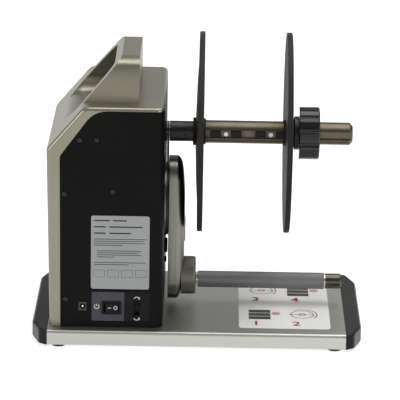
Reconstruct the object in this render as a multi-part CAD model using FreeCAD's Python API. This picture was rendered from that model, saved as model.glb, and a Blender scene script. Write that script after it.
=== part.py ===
import FreeCAD, Part
import math
import os

# Label rewinder. Millimetres, X along the mandrel to its free end, Y away from the
# switch side, Z up. The origin is the centre of the footprint on the table.

os.makedirs("parts", exist_ok=True)
V = FreeCAD.Vector
AX, AY, AZ = V(1, 0, 0), V(0, 1, 0), V(0, 0, 1)

# Named clearances
RUN = 0.03          # radial, shaft in a bearing
SLIDE = 0.08        # radial, flange on the mandrel
GAP = 0.3           # between bodies that move past each other
FIT = 0.4           # between cover, shell and what passes through them

# Base
BASE_LEFT, BASE_LEN, BASE_DEPTH = -162.0, 324.0, 218.0
FOOT_H, BASE_TOP = 3.4, 20.0
BASE_WALL, BASE_ROUND = 2.6, 4.0
CAP_LEN = 18.0
SHEET_X, SHEET_MARGIN = (46.0, 146.0), (19.0, 23.0)
CAP_BEND_IN, CAP_NOSE_IN, CAP_WALL, CAP_SCREW_SEAT = 6.0, 33.0, 3.0, 5.0
FOOT_INSET, FOOT_R = 12.0, 8.0
CAP_SCREW_Y = (-54.0, 54.0)
CAP_SCREW_R = 2.1

# Housing
HOUSE_RIGHT, HOUSE_INSET = -37.5, 13.6
COVER_T, COVER_BEND = 1.5, 9.0
COVER_LEFT, COVER_TOP = -149.0, 262.0
HOUSE_BOTTOM = BASE_TOP + 0.4
SHELL_T, SHELL_ROUND = 2.5, 4.0
SHELL_FOOT_X, CREST_X, CREST_Z = -160.0, -163.5, 219.4
SLOPE_DEG = 49.6
LEDGE_Z, HOOD_TOP = 266.0, 311.5
HOOD_BACK, HOOD_WALL, HOOD_ROOF, HOOD_SIDE = -65.5, 4.5, 9.0, 10.5
SCOOP_FLOOR, SCOOP_Y, SCOOP_BEND, SCOOP_ROLL = 246.0, 59.0, 14.0, 22.0
CREST_TOP = 43.0
HOOD_FOOT, HOOD_SHOULDER = (3.0, 10.5), (11.0, 5.5)
LIP_W, LIP_T = 7.0, 2.0
LIP_SCREWS = ((-128.0, 230.5), (-144.0, 170.4), (-142.5, 51.8))
TIE_SCREWS = ((-109.6, 230.8), (-92.0, 173.6))
SCREW3_R, SCREW3_HEAD_R, SCREW3_HEAD_H = 1.5, 2.8, 1.7
VENT_X, VENT_PITCH, VENT_W, VENT_COUNT, VENT_Z = -128.0, 9.0, 3.2, 9, (60.0, 100.0)

# Switches, all on the near panel: centre x, centre z, width, height
JACK = (-124.1, 43.9, 8.8, 9.6)
ROCKER = (-92.8, 42.9, 19.2, 13.0)
SLIDER = (-65.3, 42.0, 7.4, 15.4)
RATING = (-83.7, 105.3, 63.0, 82.6)
SWITCH_PLATE = (-82.75, 44.0, 62.9, 32.8)
PLATE_T, BOARD_DEEP, BOARD_T = 0.4, 15.4, 1.6
BOARD_X, BOARD_Z, BOARD_SOCKETS, BOARD_SOCKET_UP = (-133.0, -52.0), (28.0, 68.0), (49.0, 65.0), 32.0
ROCKER_TILT, ROCKER_PIN_R = 7.0, 1.2

# Spindle
SPINDLE_Z = 216.5
SHAFT_R, SHAFT_IN, SHAFT_OUT = 6.0, -86.0, 150.0
COLLAR_R, COLLAR_IN, COLLAR_OUT = 11.3, -33.4, -7.8
MANDREL_R, MANDREL_END, MANDREL_CHAMFER = 12.6, 167.3, 3.4
STUB_R, KEYWAY_W, KEYWAY_FLOOR = 12.4, 8.8, 8.4
FLANGE_R = 110.0
INNER_FACE, OUTER_FACE = 4.0, 93.4
RIM_T = 5.9
HUB_R = 15.3
COLLET_R, COLLET_END = 18.4, 108.2
KNOB_R, KNOB_IN, KNOB_OUT, KNOB_LOBES = 29.0, 108.5, 130.8, 11
KNOB_GROOVE_R, KNOB_GROOVE_DEPTH, KNOB_TURN = 2.6, 2.0, 160.0
GRIP_SCREWS_X = (28.4, 77.6)

# Gear train
MODULE = 1.0
SPINDLE_TEETH, PINION_TEETH = 48, 16
SECTOR_TEETH, SENSOR_TEETH = 60, 20
GEAR_X0, GEAR_X1 = -82.0, -76.0
SECTOR_X0, SECTOR_X1 = -70.5, -67.0
MOTOR_Z = SPINDLE_Z - MODULE * (SPINDLE_TEETH + PINION_TEETH) / 2
BACKLASH = 0.24

# Arm
PIVOT_Z, ROLLER_Z = 138.5, 46.0
ARM_SHAFT_R = 5.0
ARM_R, ARM_TOP, ARM_LOW = 22.0, 188.3, 24.3
ARM_IN, ARM_MID, ARM_OUT = -33.4, -24.0, -14.6
HUB_DISC_R, HUB_DISC_Z, HUB_DISC_OUT = 21.2, 50.5, -2.4
ROLLER_R, ROLLER_IN = 9.2, 0.0
AXLE_R, AXLE_OUT = 4.0, 158.0
END_COLLAR_R, END_COLLAR_L, END_COLLAR_FLOOR = 8.6, 18.0, 2.0
COLLAR_GAP = 1.4
ARM_WALL, HUB_SEAT = 2.2, 5.5
# Share of the cover's rise, then how far the outline has drawn in at the sides, head and foot
ARM_CROWN = ((0, 0, 0, 0), (0.30, 0.6, 2.2, 2.4), (0.55, 2.0, 7.0, 9.0), (0.75, 4.5, 20.0, 24.0),
             (0.90, 8.5, 46.0, 46.0), (1.0, 14.0, 70.0, 66.0))
ARM_SWING = 40.0

# Chassis
CHASSIS_X0, CHASSIS_X1, CHASSIS_TOP, CHASSIS_INSET = -44.5, -41.5, 250.0, 20.4
MOTOR_PLATE_X0, MOTOR_PLATE_X1, MOTOR_PLATE_HALF = -99.0, -96.0, 42.0
MOTOR_PLATE_LOW, MOTOR_PLATE_TOP = 86.0, 238.0
GEARBOX_LEN, MOTOR_LEN, MOTOR_TAG = 24.0, 30.0, (5.0, 11.0)
STANDOFF_YZ = ((-34.0, 228.0), (34.0, 228.0), (-34.0, 100.0), (34.0, 100.0))
SENSOR_Z = PIVOT_Z - MODULE * (SECTOR_TEETH + SENSOR_TEETH) / 2


def box(x0, x1, y0, y1, z0, z1):
    return Part.makeBox(x1 - x0, y1 - y0, z1 - z0, V(x0, y0, z0))


def rod_x(x0, x1, y, z, r):
    return Part.makeCylinder(r, x1 - x0, V(x0, y, z), AX)


def rod_y(y0, y1, x, z, r):
    return Part.makeCylinder(r, y1 - y0, V(x, y0, z), AY)


def rod_z(z0, z1, x, y, r):
    return Part.makeCylinder(r, z1 - z0, V(x, y, z0), AZ)


def ring_x(x0, x1, y, z, outer, inner):
    return rod_x(x0, x1, y, z, outer).cut(rod_x(x0 - 1, x1 + 1, y, z, inner))


def rounded_wire(points, radii):
    """Closed wire through 3D corner points, each corner rounded by its radius (0 = sharp)."""
    n = len(points)
    if not hasattr(radii, "__len__"):
        radii = [radii] * n
    ends, arcs = [], []
    for i, p in enumerate(points):
        a, b = points[i - 1] - p, points[(i + 1) % n] - p
        a, b = V(a), V(b)
        a.normalize()
        b.normalize()
        half = math.acos(max(-1.0, min(1.0, a.dot(b)))) / 2
        r = radii[i]
        if r <= 0:
            ends.append((p, p))
            arcs.append(None)
            continue
        cut = r / math.tan(half)
        start, stop = p + a * cut, p + b * cut
        mid_dir = a + b
        mid_dir.normalize()
        middle = p + mid_dir * (r / math.sin(half) - r)
        ends.append((start, stop))
        arcs.append(Part.Arc(start, middle, stop).toShape())
    edges = []
    for i in range(n):
        if arcs[i] is not None:
            edges.append(arcs[i])
        p, q = ends[i][1], ends[(i + 1) % n][0]
        if (q - p).Length > 1e-6:
            edges.append(Part.makeLine(p, q))
    return Part.Wire(Part.__sortEdges__(edges))


def prism_y(xz, radii, y0, y1):
    wire = rounded_wire([V(x, y0, z) for x, z in xz], radii)
    return Part.Face(wire).extrude(V(0, y1 - y0, 0))


def prism_x(yz, radii, x0, x1):
    wire = rounded_wire([V(x0, y, z) for y, z in yz], radii)
    return Part.Face(wire).extrude(V(x1 - x0, 0, 0))


def prism_z(xy, radii, z0, z1):
    wire = rounded_wire([V(x, y, z0) for x, y in xy], radii)
    return Part.Face(wire).extrude(V(0, 0, z1 - z0))


def panel_block(spec, y0, y1, corner, grow=0.0):
    """Upright rounded rectangle on the near panel, from a (x, z, width, height) size."""
    cx, cz, w, h = spec
    w, h = w / 2 + grow, h / 2 + grow
    pts = ((cx - w, cz - h), (cx + w, cz - h), (cx + w, cz + h), (cx - w, cz + h))
    return prism_y(pts, corner, y0, y1)


def turned(profile, z=SPINDLE_Z):
    """Solid turned about the X axis at height z, from (x, radius) points."""
    pts = [V(x, 0, z + r) for x, r in profile]
    face = Part.Face(Part.makePolygon(pts + [pts[0]]))
    return face.revolve(V(0, 0, z), AX, 360)


def fuse(shapes):
    shapes = list(shapes)
    return shapes[0].fuse(shapes[1:]).removeSplitter() if len(shapes) > 1 else shapes[0]


def fillet_where(shape, radius, test):
    edges = [e for e in shape.Edges if test(e)]
    return shape.makeFillet(radius, edges) if edges else shape


def round_end_x(shape, x, radius):
    """Fillet the edges that lie in the plane at x."""
    return fillet_where(shape, radius, lambda e: abs(e.BoundBox.XMin - x) < 1e-6 and e.BoundBox.XLength < 1e-6)


def round_end_y(shape, y, radius):
    """Fillet the edges that lie in the plane at y."""
    return fillet_where(shape, radius, lambda e: abs(e.BoundBox.YMin - y) < 1e-6 and e.BoundBox.YLength < 1e-6)


def about_x(z, radius, degrees):
    """(y, z) of a point at an angle from +Y towards +Z about an X axis at height z."""
    a = math.radians(degrees)
    return radius * math.cos(a), z + radius * math.sin(a)


def involute_points(teeth, x, backlash=BACKLASH, first=0, count=None, phase=0.0):
    """Tooth outline points in the plane at x, about the origin; angles from +Y towards +Z."""
    rp = MODULE * teeth / 2
    rb, ra, rf = rp * math.cos(math.radians(20)), rp + MODULE, rp - 1.25 * MODULE

    def inv(r):
        slope = math.sqrt(max(r * r / (rb * rb) - 1, 0))
        return slope - math.atan(slope)

    half = (math.pi * MODULE / 2 - backlash) / (2 * rp) + inv(rp)
    radii = [max(rb, rf + 0.05) + (ra - max(rb, rf + 0.05)) * k / 3 for k in range(4)]
    pts = []
    for i in range(first, first + (count or teeth)):
        mid = 2 * math.pi * i / teeth + phase
        low = mid - (half - inv(radii[0]))
        pts.append(V(x, rf * math.cos(low), rf * math.sin(low)))
        for r in radii:
            a = mid - (half - inv(r))
            pts.append(V(x, r * math.cos(a), r * math.sin(a)))
        for r in reversed(radii):
            a = mid + (half - inv(r))
            pts.append(V(x, r * math.cos(a), r * math.sin(a)))
        high = mid + (half - inv(radii[0]))
        pts.append(V(x, rf * math.cos(high), rf * math.sin(high)))
    return pts


def gear(teeth, x0, x1, z, phase):
    pts = involute_points(teeth, x0, phase=phase)
    body = Part.Face(Part.makePolygon(pts + [pts[0]])).extrude(V(x1 - x0, 0, 0))
    body.translate(V(0, 0, z))
    return body


# Outlines shared by shell and cover
SLOPE = math.tan(math.radians(SLOPE_DEG))
COVER_OUTLINE = ((COVER_LEFT + 1.0, HOUSE_BOTTOM), (COVER_LEFT, 212.0), (-112.3, COVER_TOP),
                 (HOUSE_RIGHT, COVER_TOP), (HOUSE_RIGHT, HOUSE_BOTTOM))
COVER_CORNERS = (1.0, 8.0, 27.0, 0, 0)


def slope_x(z):
    return CREST_X + (z - CREST_Z) / SLOPE


def grown(points, by):
    """Convex (x, z) outline grown outward by a distance, corners kept sharp."""
    n = len(points)
    area = sum(points[i][0] * points[(i + 1) % n][1] - points[(i + 1) % n][0] * points[i][1] for i in range(n))
    sign = 1 if area > 0 else -1
    lines = []
    for i in range(n):
        (x0, z0), (x1, z1) = points[i], points[(i + 1) % n]
        d = math.hypot(x1 - x0, z1 - z0)
        nx, nz = sign * (z1 - z0) / d, -sign * (x1 - x0) / d
        lines.append((nx, nz, nx * x0 + nz * z0 + by))
    out = []
    for i in range(n):
        a, b = lines[i - 1], lines[i]
        det = a[0] * b[1] - b[0] * a[1]
        out.append(((a[2] * b[1] - b[2] * a[1]) / det, (a[0] * b[2] - b[0] * a[2]) / det))
    return out


def base_end(side, out=0.0):
    """X of the extrusion's left (-1) or right (1) end, or of a point further out from it."""
    return BASE_LEFT - out if side < 0 else BASE_LEFT + BASE_LEN + out


def make_base():
    y, top, low = BASE_DEPTH / 2, BASE_TOP, FOOT_H
    x0, x1 = base_end(-1), base_end(1)
    body = prism_x(((-y, low), (y, low), (y, top), (-y, top)), (1.5, 1.5, BASE_ROUND, BASE_ROUND), x0, x1)
    cells = 4
    width = (BASE_DEPTH - 2 * (BASE_ROUND - 1) - (cells - 1) * 3.0) / cells
    start = -y + BASE_ROUND - 1
    cuts = []
    for i in range(cells):
        a = start + i * (width + 3.0)
        cuts.append(prism_x(((a, low + BASE_WALL), (a + width, low + BASE_WALL),
                             (a + width, top - BASE_WALL), (a, top - BASE_WALL)), 1.5, x0 - 1, x1 + 1))
    body = body.cut(cuts)
    mid = (low + top) / 2
    ports = [rod_x(x0, x1, cy, mid, 6.2) for cy in CAP_SCREW_Y]
    body = body.fuse(ports)
    holes = [rod_x(x0 - 1, x1 + 1, cy, mid, CAP_SCREW_R - 0.4) for cy in CAP_SCREW_Y]
    holes += [rod_z(top - BASE_WALL - 1, top + 1, x, cy, 2.0) for x, cy in FOOT_HOLES]
    return body.cut(holes).removeSplitter()


def cap_outline(side, inset=0.0):
    """Plan of an end cap: the base's depth, drawn in along a bow to the nose."""
    half = BASE_DEPTH / 2
    steps = ((inset, half - inset), (CAP_LEN / 2 - inset / 2, half - CAP_BEND_IN - inset),
             (CAP_LEN - inset, half - CAP_NOSE_IN - inset))
    pts = [(base_end(side, out), -y) for out, y in steps]
    return pts + [(x, -y) for x, y in reversed(pts)]


def make_cap(side):
    body = prism_z(cap_outline(side), (0, 9.0, 22.0, 22.0, 9.0, 0), FOOT_H, BASE_TOP)
    edge_x = base_end(side)
    body = fillet_where(body, 3.0, lambda e: abs(e.BoundBox.ZMin - BASE_TOP) < 1e-6
                        and max(abs(e.BoundBox.XMin - edge_x), abs(e.BoundBox.XMax - edge_x)) > 1e-6)
    body = body.cut(prism_z(cap_outline(side, CAP_WALL), 0, FOOT_H - 1, BASE_TOP - CAP_WALL))
    mid = (FOOT_H + BASE_TOP) / 2
    x0, x1 = sorted((edge_x, base_end(side, CAP_LEN)))
    bosses = [rod_x(x0, x1, y, mid, 6.5).common(box(x0, x1, y - 7, y + 7, FOOT_H + 1, BASE_TOP - 1))
              for y in CAP_SCREW_Y]
    body = body.fuse(bosses)
    c0, c1 = sorted((base_end(side, CAP_SCREW_SEAT), base_end(side, CAP_LEN + 1)))
    for y in CAP_SCREW_Y:
        body = body.cut([rod_x(x0 - 1, x1 + 1, y, mid, CAP_SCREW_R + 0.1), rod_x(c0, c1, y, mid, 4.3)])
    return body.removeSplitter()


def make_cap_screws():
    mid = (FOOT_H + BASE_TOP) / 2
    screws = []
    for side in (-1, 1):
        seat, head = base_end(side, CAP_SCREW_SEAT), base_end(side, CAP_SCREW_SEAT + 3.0)
        tip = base_end(side, -12.0)
        for y in CAP_SCREW_Y:
            a, b = sorted((tip, seat))
            c, d = sorted((seat, head))
            body = rod_x(a, b, y, mid, CAP_SCREW_R - 0.4).fuse(rod_x(c, d, y, mid, 3.6))
            e, f = sorted((head + side, base_end(side, CAP_SCREW_SEAT + 1.4)))
            screws.append(body.cut(hex_x(e, f, y, mid, 3.0)))
    return screws


def hex_x(x0, x1, y, z, across):
    r = across / math.sqrt(3)
    pts = [(y + r * math.cos(math.radians(60 * k)), z + r * math.sin(math.radians(60 * k))) for k in range(6)]
    return prism_x(pts, 0, x0, x1)


def make_feet():
    feet = []
    foot_y = BASE_DEPTH / 2 - FOOT_INSET
    for x in (base_end(-1, -FOOT_INSET), base_end(1, -FOOT_INSET)):
        for y in (-foot_y, foot_y):
            foot = Part.makeCone(FOOT_R - 0.8, FOOT_R, FOOT_H, V(x, y, 0), AZ)
            feet.append(foot.cut(rod_z(-1, 1.6, x, y, 3.2)))
    return feet


def make_sheet():
    x0, x1 = SHEET_X
    y0, y1 = SHEET_MARGIN[0] - BASE_DEPTH / 2, BASE_DEPTH / 2 - SHEET_MARGIN[1]
    return prism_z(((x0, y0), (x1, y0), (x1, y1), (x0, y1)), 5.0, BASE_TOP, BASE_TOP + 0.2)


def bell(side_y, foot_z, top_y, top_z, low=None):
    """Hood section across X: flared feet, upright sides and round shoulders under a flat top."""
    low = foot_z if low is None else low
    draft = (HOOD_FOOT[0] + HOOD_SHOULDER[0]) / 2
    points = ((side_y, foot_z), (side_y - HOOD_FOOT[0], foot_z + HOOD_FOOT[1]),
              (side_y - draft, top_z - 2.7 * HOOD_SHOULDER[1]),
              (side_y - HOOD_SHOULDER[0], top_z - HOOD_SHOULDER[1]), (top_y, top_z))
    edges = []
    for s in (1, -1):
        spline = Part.BSplineCurve()
        spline.interpolate([V(0, s * y, z) for y, z in points], InitialTangent=V(0, -0.6 * s, 1),
                           FinalTangent=V(0, -s, 0.12))
        edges.append(spline.toShape())
        if low < foot_z:
            edges.append(Part.makeLine(V(0, s * side_y, low), V(0, s * side_y, foot_z)))
    edges.append(Part.makeLine(V(0, top_y, top_z), V(0, -top_y, top_z)))
    edges.append(Part.makeLine(V(0, -side_y, low), V(0, side_y, low)))
    return Part.Wire(Part.__sortEdges__(edges))


def swept_x(wire, x0, x1):
    body = Part.Face(wire).extrude(V(x1 - x0, 0, 0))
    body.translate(V(x0, 0, 0))
    return body


def scoop_form(grow=0.0):
    """Space of the scoop, or the same grown by a wall: a bell whose floor rolls over into the slope."""
    side, floor, bend = SCOOP_Y + grow, SCOOP_FLOOR - grow, SCOOP_BEND + grow
    section = bell(side, LEDGE_Z - 4, CREST_TOP - HOOD_ROOF / 2 + grow, HOOD_TOP - HOOD_ROOF + grow, floor)
    body = swept_x(section, CREST_X - 35, HOOD_BACK - HOOD_WALL + grow)
    body = fillet_where(body, bend, lambda e: e.BoundBox.ZMax < floor + 1e-4 and e.BoundBox.XLength > 50)
    x, high = slope_x(SCOOP_FLOOR) + SCOOP_ROLL * math.tan(math.radians(SLOPE_DEG) / 2), floor + bend + 1
    start = rounded_wire([V(x, -side, floor), V(x, side, floor), V(x, side, high), V(x, -side, high)],
                         (bend, bend, 0, 0))
    return body, Part.Face(start).revolve(V(x, 0, SCOOP_FLOOR - SCOOP_ROLL), -AY, SLOPE_DEG)


def on_rim(edge):
    """Edges where the left side, the slope and the top meet the near, far and right faces."""
    b = edge.BoundBox
    flat = b.YLength < 1e-4 and abs(abs(b.YMin) - HOUSE_Y) < 1e-3
    side = flat and (b.XMin < CREST_X + 10 or b.ZMin > CREST_Z)
    right = b.XMin > HOUSE_RIGHT - COVER_BEND - 0.1 and b.ZMin > LEDGE_Z - 1e-3
    return (side and not (b.ZMax < HOUSE_BOTTOM + 1)) or right


def make_shell():
    t = SHELL_T
    outline = [(SHELL_FOOT_X, HOUSE_BOTTOM), (CREST_X, CREST_Z), (slope_x(LEDGE_Z), LEDGE_Z),
               (HOUSE_RIGHT, LEDGE_Z), (HOUSE_RIGHT, HOUSE_BOTTOM)]
    body = prism_y(outline, (0, 5.0, 12.0, 0, 0), -HOUSE_Y, HOUSE_Y)
    body = fillet_where(body, COVER_BEND, lambda e: abs(e.BoundBox.XMin - HOUSE_RIGHT) < 1e-4
                        and abs(e.BoundBox.XMax - HOUSE_RIGHT) < 1e-4 and e.BoundBox.ZLength > 100)
    body = fillet_where(body, SHELL_ROUND, on_rim)
    inner_pts = grown(outline, -t)
    inner_pts[0] = (inner_pts[0][0], HOUSE_BOTTOM - 5)
    inner_pts[4] = (HOUSE_RIGHT - t, HOUSE_BOTTOM - 5)
    hollow = prism_y(inner_pts, (0, 3.0, 9.5, 0, 0), -HOUSE_Y + t, HOUSE_Y - t)
    for form in scoop_form(t):
        hollow = hollow.cut(form)
    hood = swept_x(bell(SCOOP_Y + HOOD_SIDE, LEDGE_Z - 1.5, CREST_TOP, HOOD_TOP), CREST_X + 13, HOOD_BACK)
    wedge = prism_y(((slope_x(LEDGE_Z - 1.5), LEDGE_Z - 1.5), (slope_x(HOOD_TOP + 5), HOOD_TOP + 5),
                     (HOOD_BACK + 5, HOOD_TOP + 5), (HOOD_BACK + 5, LEDGE_Z - 1.5)), 0, -90, 90)
    body = body.fuse(hood.common(wedge))
    for form in (hollow,) + scoop_form():
        body = body.cut(form)
    # Openings for the cover: near, far and right
    window = grown(COVER_OUTLINE, FIT)
    window[0] = (window[0][0], HOUSE_BOTTOM - 5)
    window[3] = (HOUSE_RIGHT + 5, window[3][1])
    window[4] = (HOUSE_RIGHT + 5, HOUSE_BOTTOM - 5)
    corners = (0, 8.0 + FIT, 27.0 + FIT, 0, 0)
    body = body.cut([prism_y(window, corners, -HOUSE_Y - 1, -HOUSE_Y + t + 1),
                     prism_y(window, corners, HOUSE_Y - t - 1, HOUSE_Y + 1),
                     box(HOUSE_RIGHT - t - 1, HOUSE_RIGHT + 1, -HOUSE_Y + 2, HOUSE_Y - 2,
                         HOUSE_BOTTOM - 5, COVER_TOP + FIT)])
    # Lips behind the cover's edge, with screw posts
    back = HOUSE_Y - COVER_T - 0.2
    lip_out = grown(COVER_OUTLINE, 2.0)
    lip_out[0] = (lip_out[0][0], HOUSE_BOTTOM)
    lip_in = grown(COVER_OUTLINE, -LIP_W)
    lip_in[0] = (lip_in[0][0], HOUSE_BOTTOM - 5)
    right = HOUSE_RIGHT - COVER_BEND - 1
    lip_out[3], lip_out[4] = (right, lip_out[3][1]), (right, HOUSE_BOTTOM)
    lip_in[3], lip_in[4] = (right + 5, lip_in[3][1]), (right + 5, HOUSE_BOTTOM - 5)
    extras = []
    for s in (-1, 1):
        y0, y1 = sorted((s * back, s * (back - LIP_T)))
        extras.append(prism_y(lip_out, (0, 8.0, 29.0, 0, 0), y0, y1).cut(
            prism_y(lip_in, (0, 4.0, 20.0, 0, 0), y0 - 1, y1 + 1)))
        for x, z in LIP_SCREWS:
            a, b = sorted((s * back, s * (back - 11.0)))
            extras.append(rod_y(a, b, x, z, 4.2))
    body = body.fuse(extras)
    holes = []
    for s in (-1, 1):
        for x, z in LIP_SCREWS:
            a, b = sorted((s * (back + 1), s * (back - 9.5)))
            holes.append(rod_y(a, b, x, z, SCREW3_R))
    return body.cut(holes).removeSplitter()


def make_cover():
    left = COVER_LEFT - 20
    outer = prism_z(((left, -HOUSE_Y), (HOUSE_RIGHT, -HOUSE_Y), (HOUSE_RIGHT, HOUSE_Y), (left, HOUSE_Y)),
                    (0, COVER_BEND, COVER_BEND, 0), HOUSE_BOTTOM, COVER_TOP)
    y, x = HOUSE_Y - COVER_T, HOUSE_RIGHT - COVER_T
    inner = prism_z(((left - 1, -y), (x, -y), (x, y), (left - 1, y)),
                    (0, COVER_BEND - COVER_T, COVER_BEND - COVER_T, 0), HOUSE_BOTTOM - 1, COVER_TOP + 1)
    body = outer.cut(inner).common(prism_y(COVER_OUTLINE, COVER_CORNERS, -HOUSE_Y - 1, HOUSE_Y + 1))
    near = (-HOUSE_Y - 1, -HOUSE_Y + COVER_T + 1)
    cuts = [panel_block(JACK, near[0], near[1], 0.8, 0.15), panel_block(ROCKER, near[0], near[1], 0.5),
            panel_block(SLIDER, near[0], near[1], 0.6),
            rod_x(x - 2, HOUSE_RIGHT + 1, 0, SPINDLE_Z, COLLAR_R + FIT),
            rod_x(x - 2, HOUSE_RIGHT + 1, 0, PIVOT_Z, 9.0 + FIT),
            rod_x(x - 2, HOUSE_RIGHT + 1, 0, BUFFER_SCREW_Z, 1.7),
            rod_x(x - 2, HOUSE_RIGHT + 1, 0, BUFFER_Z, 2.2)]
    for py, pz in PIVOT_SCREWS:
        cuts.append(rod_x(x - 2, HOUSE_RIGHT + 1, py, pz, 2.2))
    for px, pz in LIP_SCREWS + TIE_SCREWS:
        cuts.append(rod_y(-HOUSE_Y - 1, HOUSE_Y + 1, px, pz, SCREW3_R + 0.1))
    low, high = VENT_Z
    for i in range(VENT_COUNT):
        vx = VENT_X + VENT_PITCH * i
        slot = ((vx, low), (vx + VENT_W, low), (vx + VENT_W, high), (vx, high))
        cuts.append(prism_y(slot, 1.5, HOUSE_Y - 5, HOUSE_Y + 1))
    return body.cut(cuts)


def make_cover_screws():
    screws = []
    for s in (-1, 1):
        face = s * HOUSE_Y
        for x, z in LIP_SCREWS + TIE_SCREWS:
            a, b = sorted((face, face + s * SCREW3_HEAD_H))
            head = rod_y(a, b, x, z, SCREW3_HEAD_R)
            head = round_end_y(head, face + s * SCREW3_HEAD_H, 1.0)
            c, d = sorted((face, face - s * 9.0))
            socket_a, socket_b = sorted((face + s * 0.6, face + s * (SCREW3_HEAD_H + 1)))
            screws.append(head.fuse(rod_y(c, d, x, z, SCREW3_R)).cut(hex_y(socket_a, socket_b, x, z, 2.0)))
    return screws


def hex_y(y0, y1, x, z, across):
    r = across / math.sqrt(3)
    pts = [(x + r * math.cos(math.radians(60 * k)), z + r * math.sin(math.radians(60 * k))) for k in range(6)]
    return prism_y(pts, 0, y0, y1)


def make_tie_rods():
    rods = []
    end = HOUSE_Y - COVER_T
    for x, z in TIE_SCREWS:
        rod = rod_y(-end, end, x, z, 4.0)
        rods.append(rod.cut([rod_y(-end - 1, -end + 9.0, x, z, SCREW3_R),
                             rod_y(end - 9.0, end + 1, x, z, SCREW3_R)]))
    return rods


def make_rating_label():
    return panel_block(RATING, -HOUSE_Y - 0.2, -HOUSE_Y, 2.5)


def make_switch_plate():
    body = panel_block(SWITCH_PLATE, -HOUSE_Y - PLATE_T, -HOUSE_Y, 1.5)
    return body.cut([panel_block(ROCKER, -HOUSE_Y - 2, -HOUSE_Y + 1, 0.5),
                     panel_block(SLIDER, -HOUSE_Y - 2, -HOUSE_Y + 1, 0.6)])


def make_jack():
    y0, y1 = -HOUSE_Y - 0.8, BOARD_Y0
    body = panel_block(JACK, y0, y1, 0.6)
    x, z = JACK[:2]
    return body.cut([rod_y(y0 - 1, y0 + 9.5, x, z, 3.1), rod_y(y0 + 9, y1 + 1, x, z, 0.8)])


def make_jack_pin():
    y0 = -HOUSE_Y - 0.8
    x, z = JACK[:2]
    return rod_y(y0 + 0.8, y0 + 9.5, x, z, 1.05).fuse(rod_y(y0 + 9.5, BOARD_Y0, x, z, 0.8))


def make_rocker_bezel():
    face = -HOUSE_Y - PLATE_T
    body = panel_block(ROCKER, face - 1.2, face, 1.0, 1.0)
    body = body.fuse(panel_block(ROCKER, face, -HOUSE_Y + 13.0, 0.5, -0.1))
    opening = (ROCKER[0], ROCKER[1], ROCKER[2] - 2.6, ROCKER[3] - 2.2)
    body = body.cut(panel_block(opening, face - 2, -HOUSE_Y + 11.0, 0.6))
    return body.cut(rod_z(ROCKER[1] - ROCKER[3], ROCKER[1] + ROCKER[3], ROCKER[0], ROCKER_AXIS_Y,
                          ROCKER_PIN_R + RUN)).removeSplitter()


def make_rocker_button():
    cx, cz, w, h = ROCKER
    w, h = w - 2.6 - 2 * GAP - 1.0, h - 2.2 - 2 * GAP
    y = ROCKER_AXIS_Y
    pts = ((cx - w / 2 + 0.3, y - 5.6), (cx, y - 4.4), (cx + w / 2 - 0.3, y - 5.6),
           (cx + w / 2 - 1.2, y + 1.0), (cx + 1.8, y + 3.2), (cx - 1.8, y + 3.2), (cx - w / 2 + 1.2, y + 1.0))
    wire = rounded_wire([V(a, b, cz - h / 2) for a, b in pts], (0.6, 8.0, 0.6, 0.5, 0.8, 0.8, 0.5))
    body = Part.Face(wire).extrude(V(0, 0, h))
    body.rotate(V(cx, y, 0), AZ, ROCKER_TILT)
    pin = h / 2 + GAP + 0.8
    return body.fuse(rod_z(cz - pin, cz + pin, cx, y, ROCKER_PIN_R)).removeSplitter()


def make_slide_body():
    cx, cz, w, h = SLIDER
    y0 = -HOUSE_Y + COVER_T
    body = box(cx - 5.5, cx + 5.5, y0, BOARD_Y0, cz - 10.5, cz + 10.5)
    return body.cut(box(cx - w / 2 + 1, cx + w / 2 - 1, y0 - 1, y0 + 4.5, cz - h / 2 + 0.5, cz + h / 2 - 0.5))


def make_slider():
    cx, cz, w, h = SLIDER
    y0 = -HOUSE_Y + COVER_T
    top = cz + h / 2 - 0.5 - GAP
    body = box(cx - w / 2 + 1 + GAP, cx + w / 2 - 1 - GAP, y0 - 1.0, y0 + 4.5 - GAP, top - 8.0, top)
    knob = box(cx - 1.9, cx + 1.9, y0 - 3.2, y0, top - 6.4, top - 1.6)
    knob = round_end_y(knob, y0 - 3.2, 0.5)
    ribs = [box(cx - 3, cx + 3, y0 - 4, y0 - 2.6, top - 5.5 + 1.3 * i, top - 4.9 + 1.3 * i) for i in range(3)]
    return body.fuse(knob.cut(ribs)).removeSplitter()


def make_board():
    (x0, x1), (z0, z1) = BOARD_X, BOARD_Z
    return box(x0, x1, BOARD_Y0, BOARD_Y1, z0, z1)


def on_board(across, up, width, height, tall):
    """Block on the board's back, from its lower left corner's place on the board."""
    x, z = BOARD_X[0] + across, BOARD_Z[0] + up
    return box(x, x + width, BOARD_Y1, BOARD_Y1 + tall, z, z + height)


def make_board_parts():
    cans = [rod_y(BOARD_Y1, BOARD_Y1 + 12, BOARD_X[0] + across, BOARD_Z[1] - 10, 5.0) for across in (9, 23)]
    chips = [on_board(33, 22, 12, 8, 2.2), on_board(49, 6, 6, 6, 2.4)]
    sockets = [on_board(across, BOARD_SOCKET_UP, 12, 6.5, 6.5) for across in BOARD_SOCKETS]
    fins = [box(BOARD_X[0] + 13 + 4 * i, BOARD_X[0] + 15 + 4 * i, BOARD_Y1 + 2, BOARD_Y1 + 10, BOARD_Z[0] + 3,
                BOARD_Z[0] + 17) for i in range(4)]
    return cans + chips + sockets + [on_board(11, 4, 16, 12, 9).cut(fins)]


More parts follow.
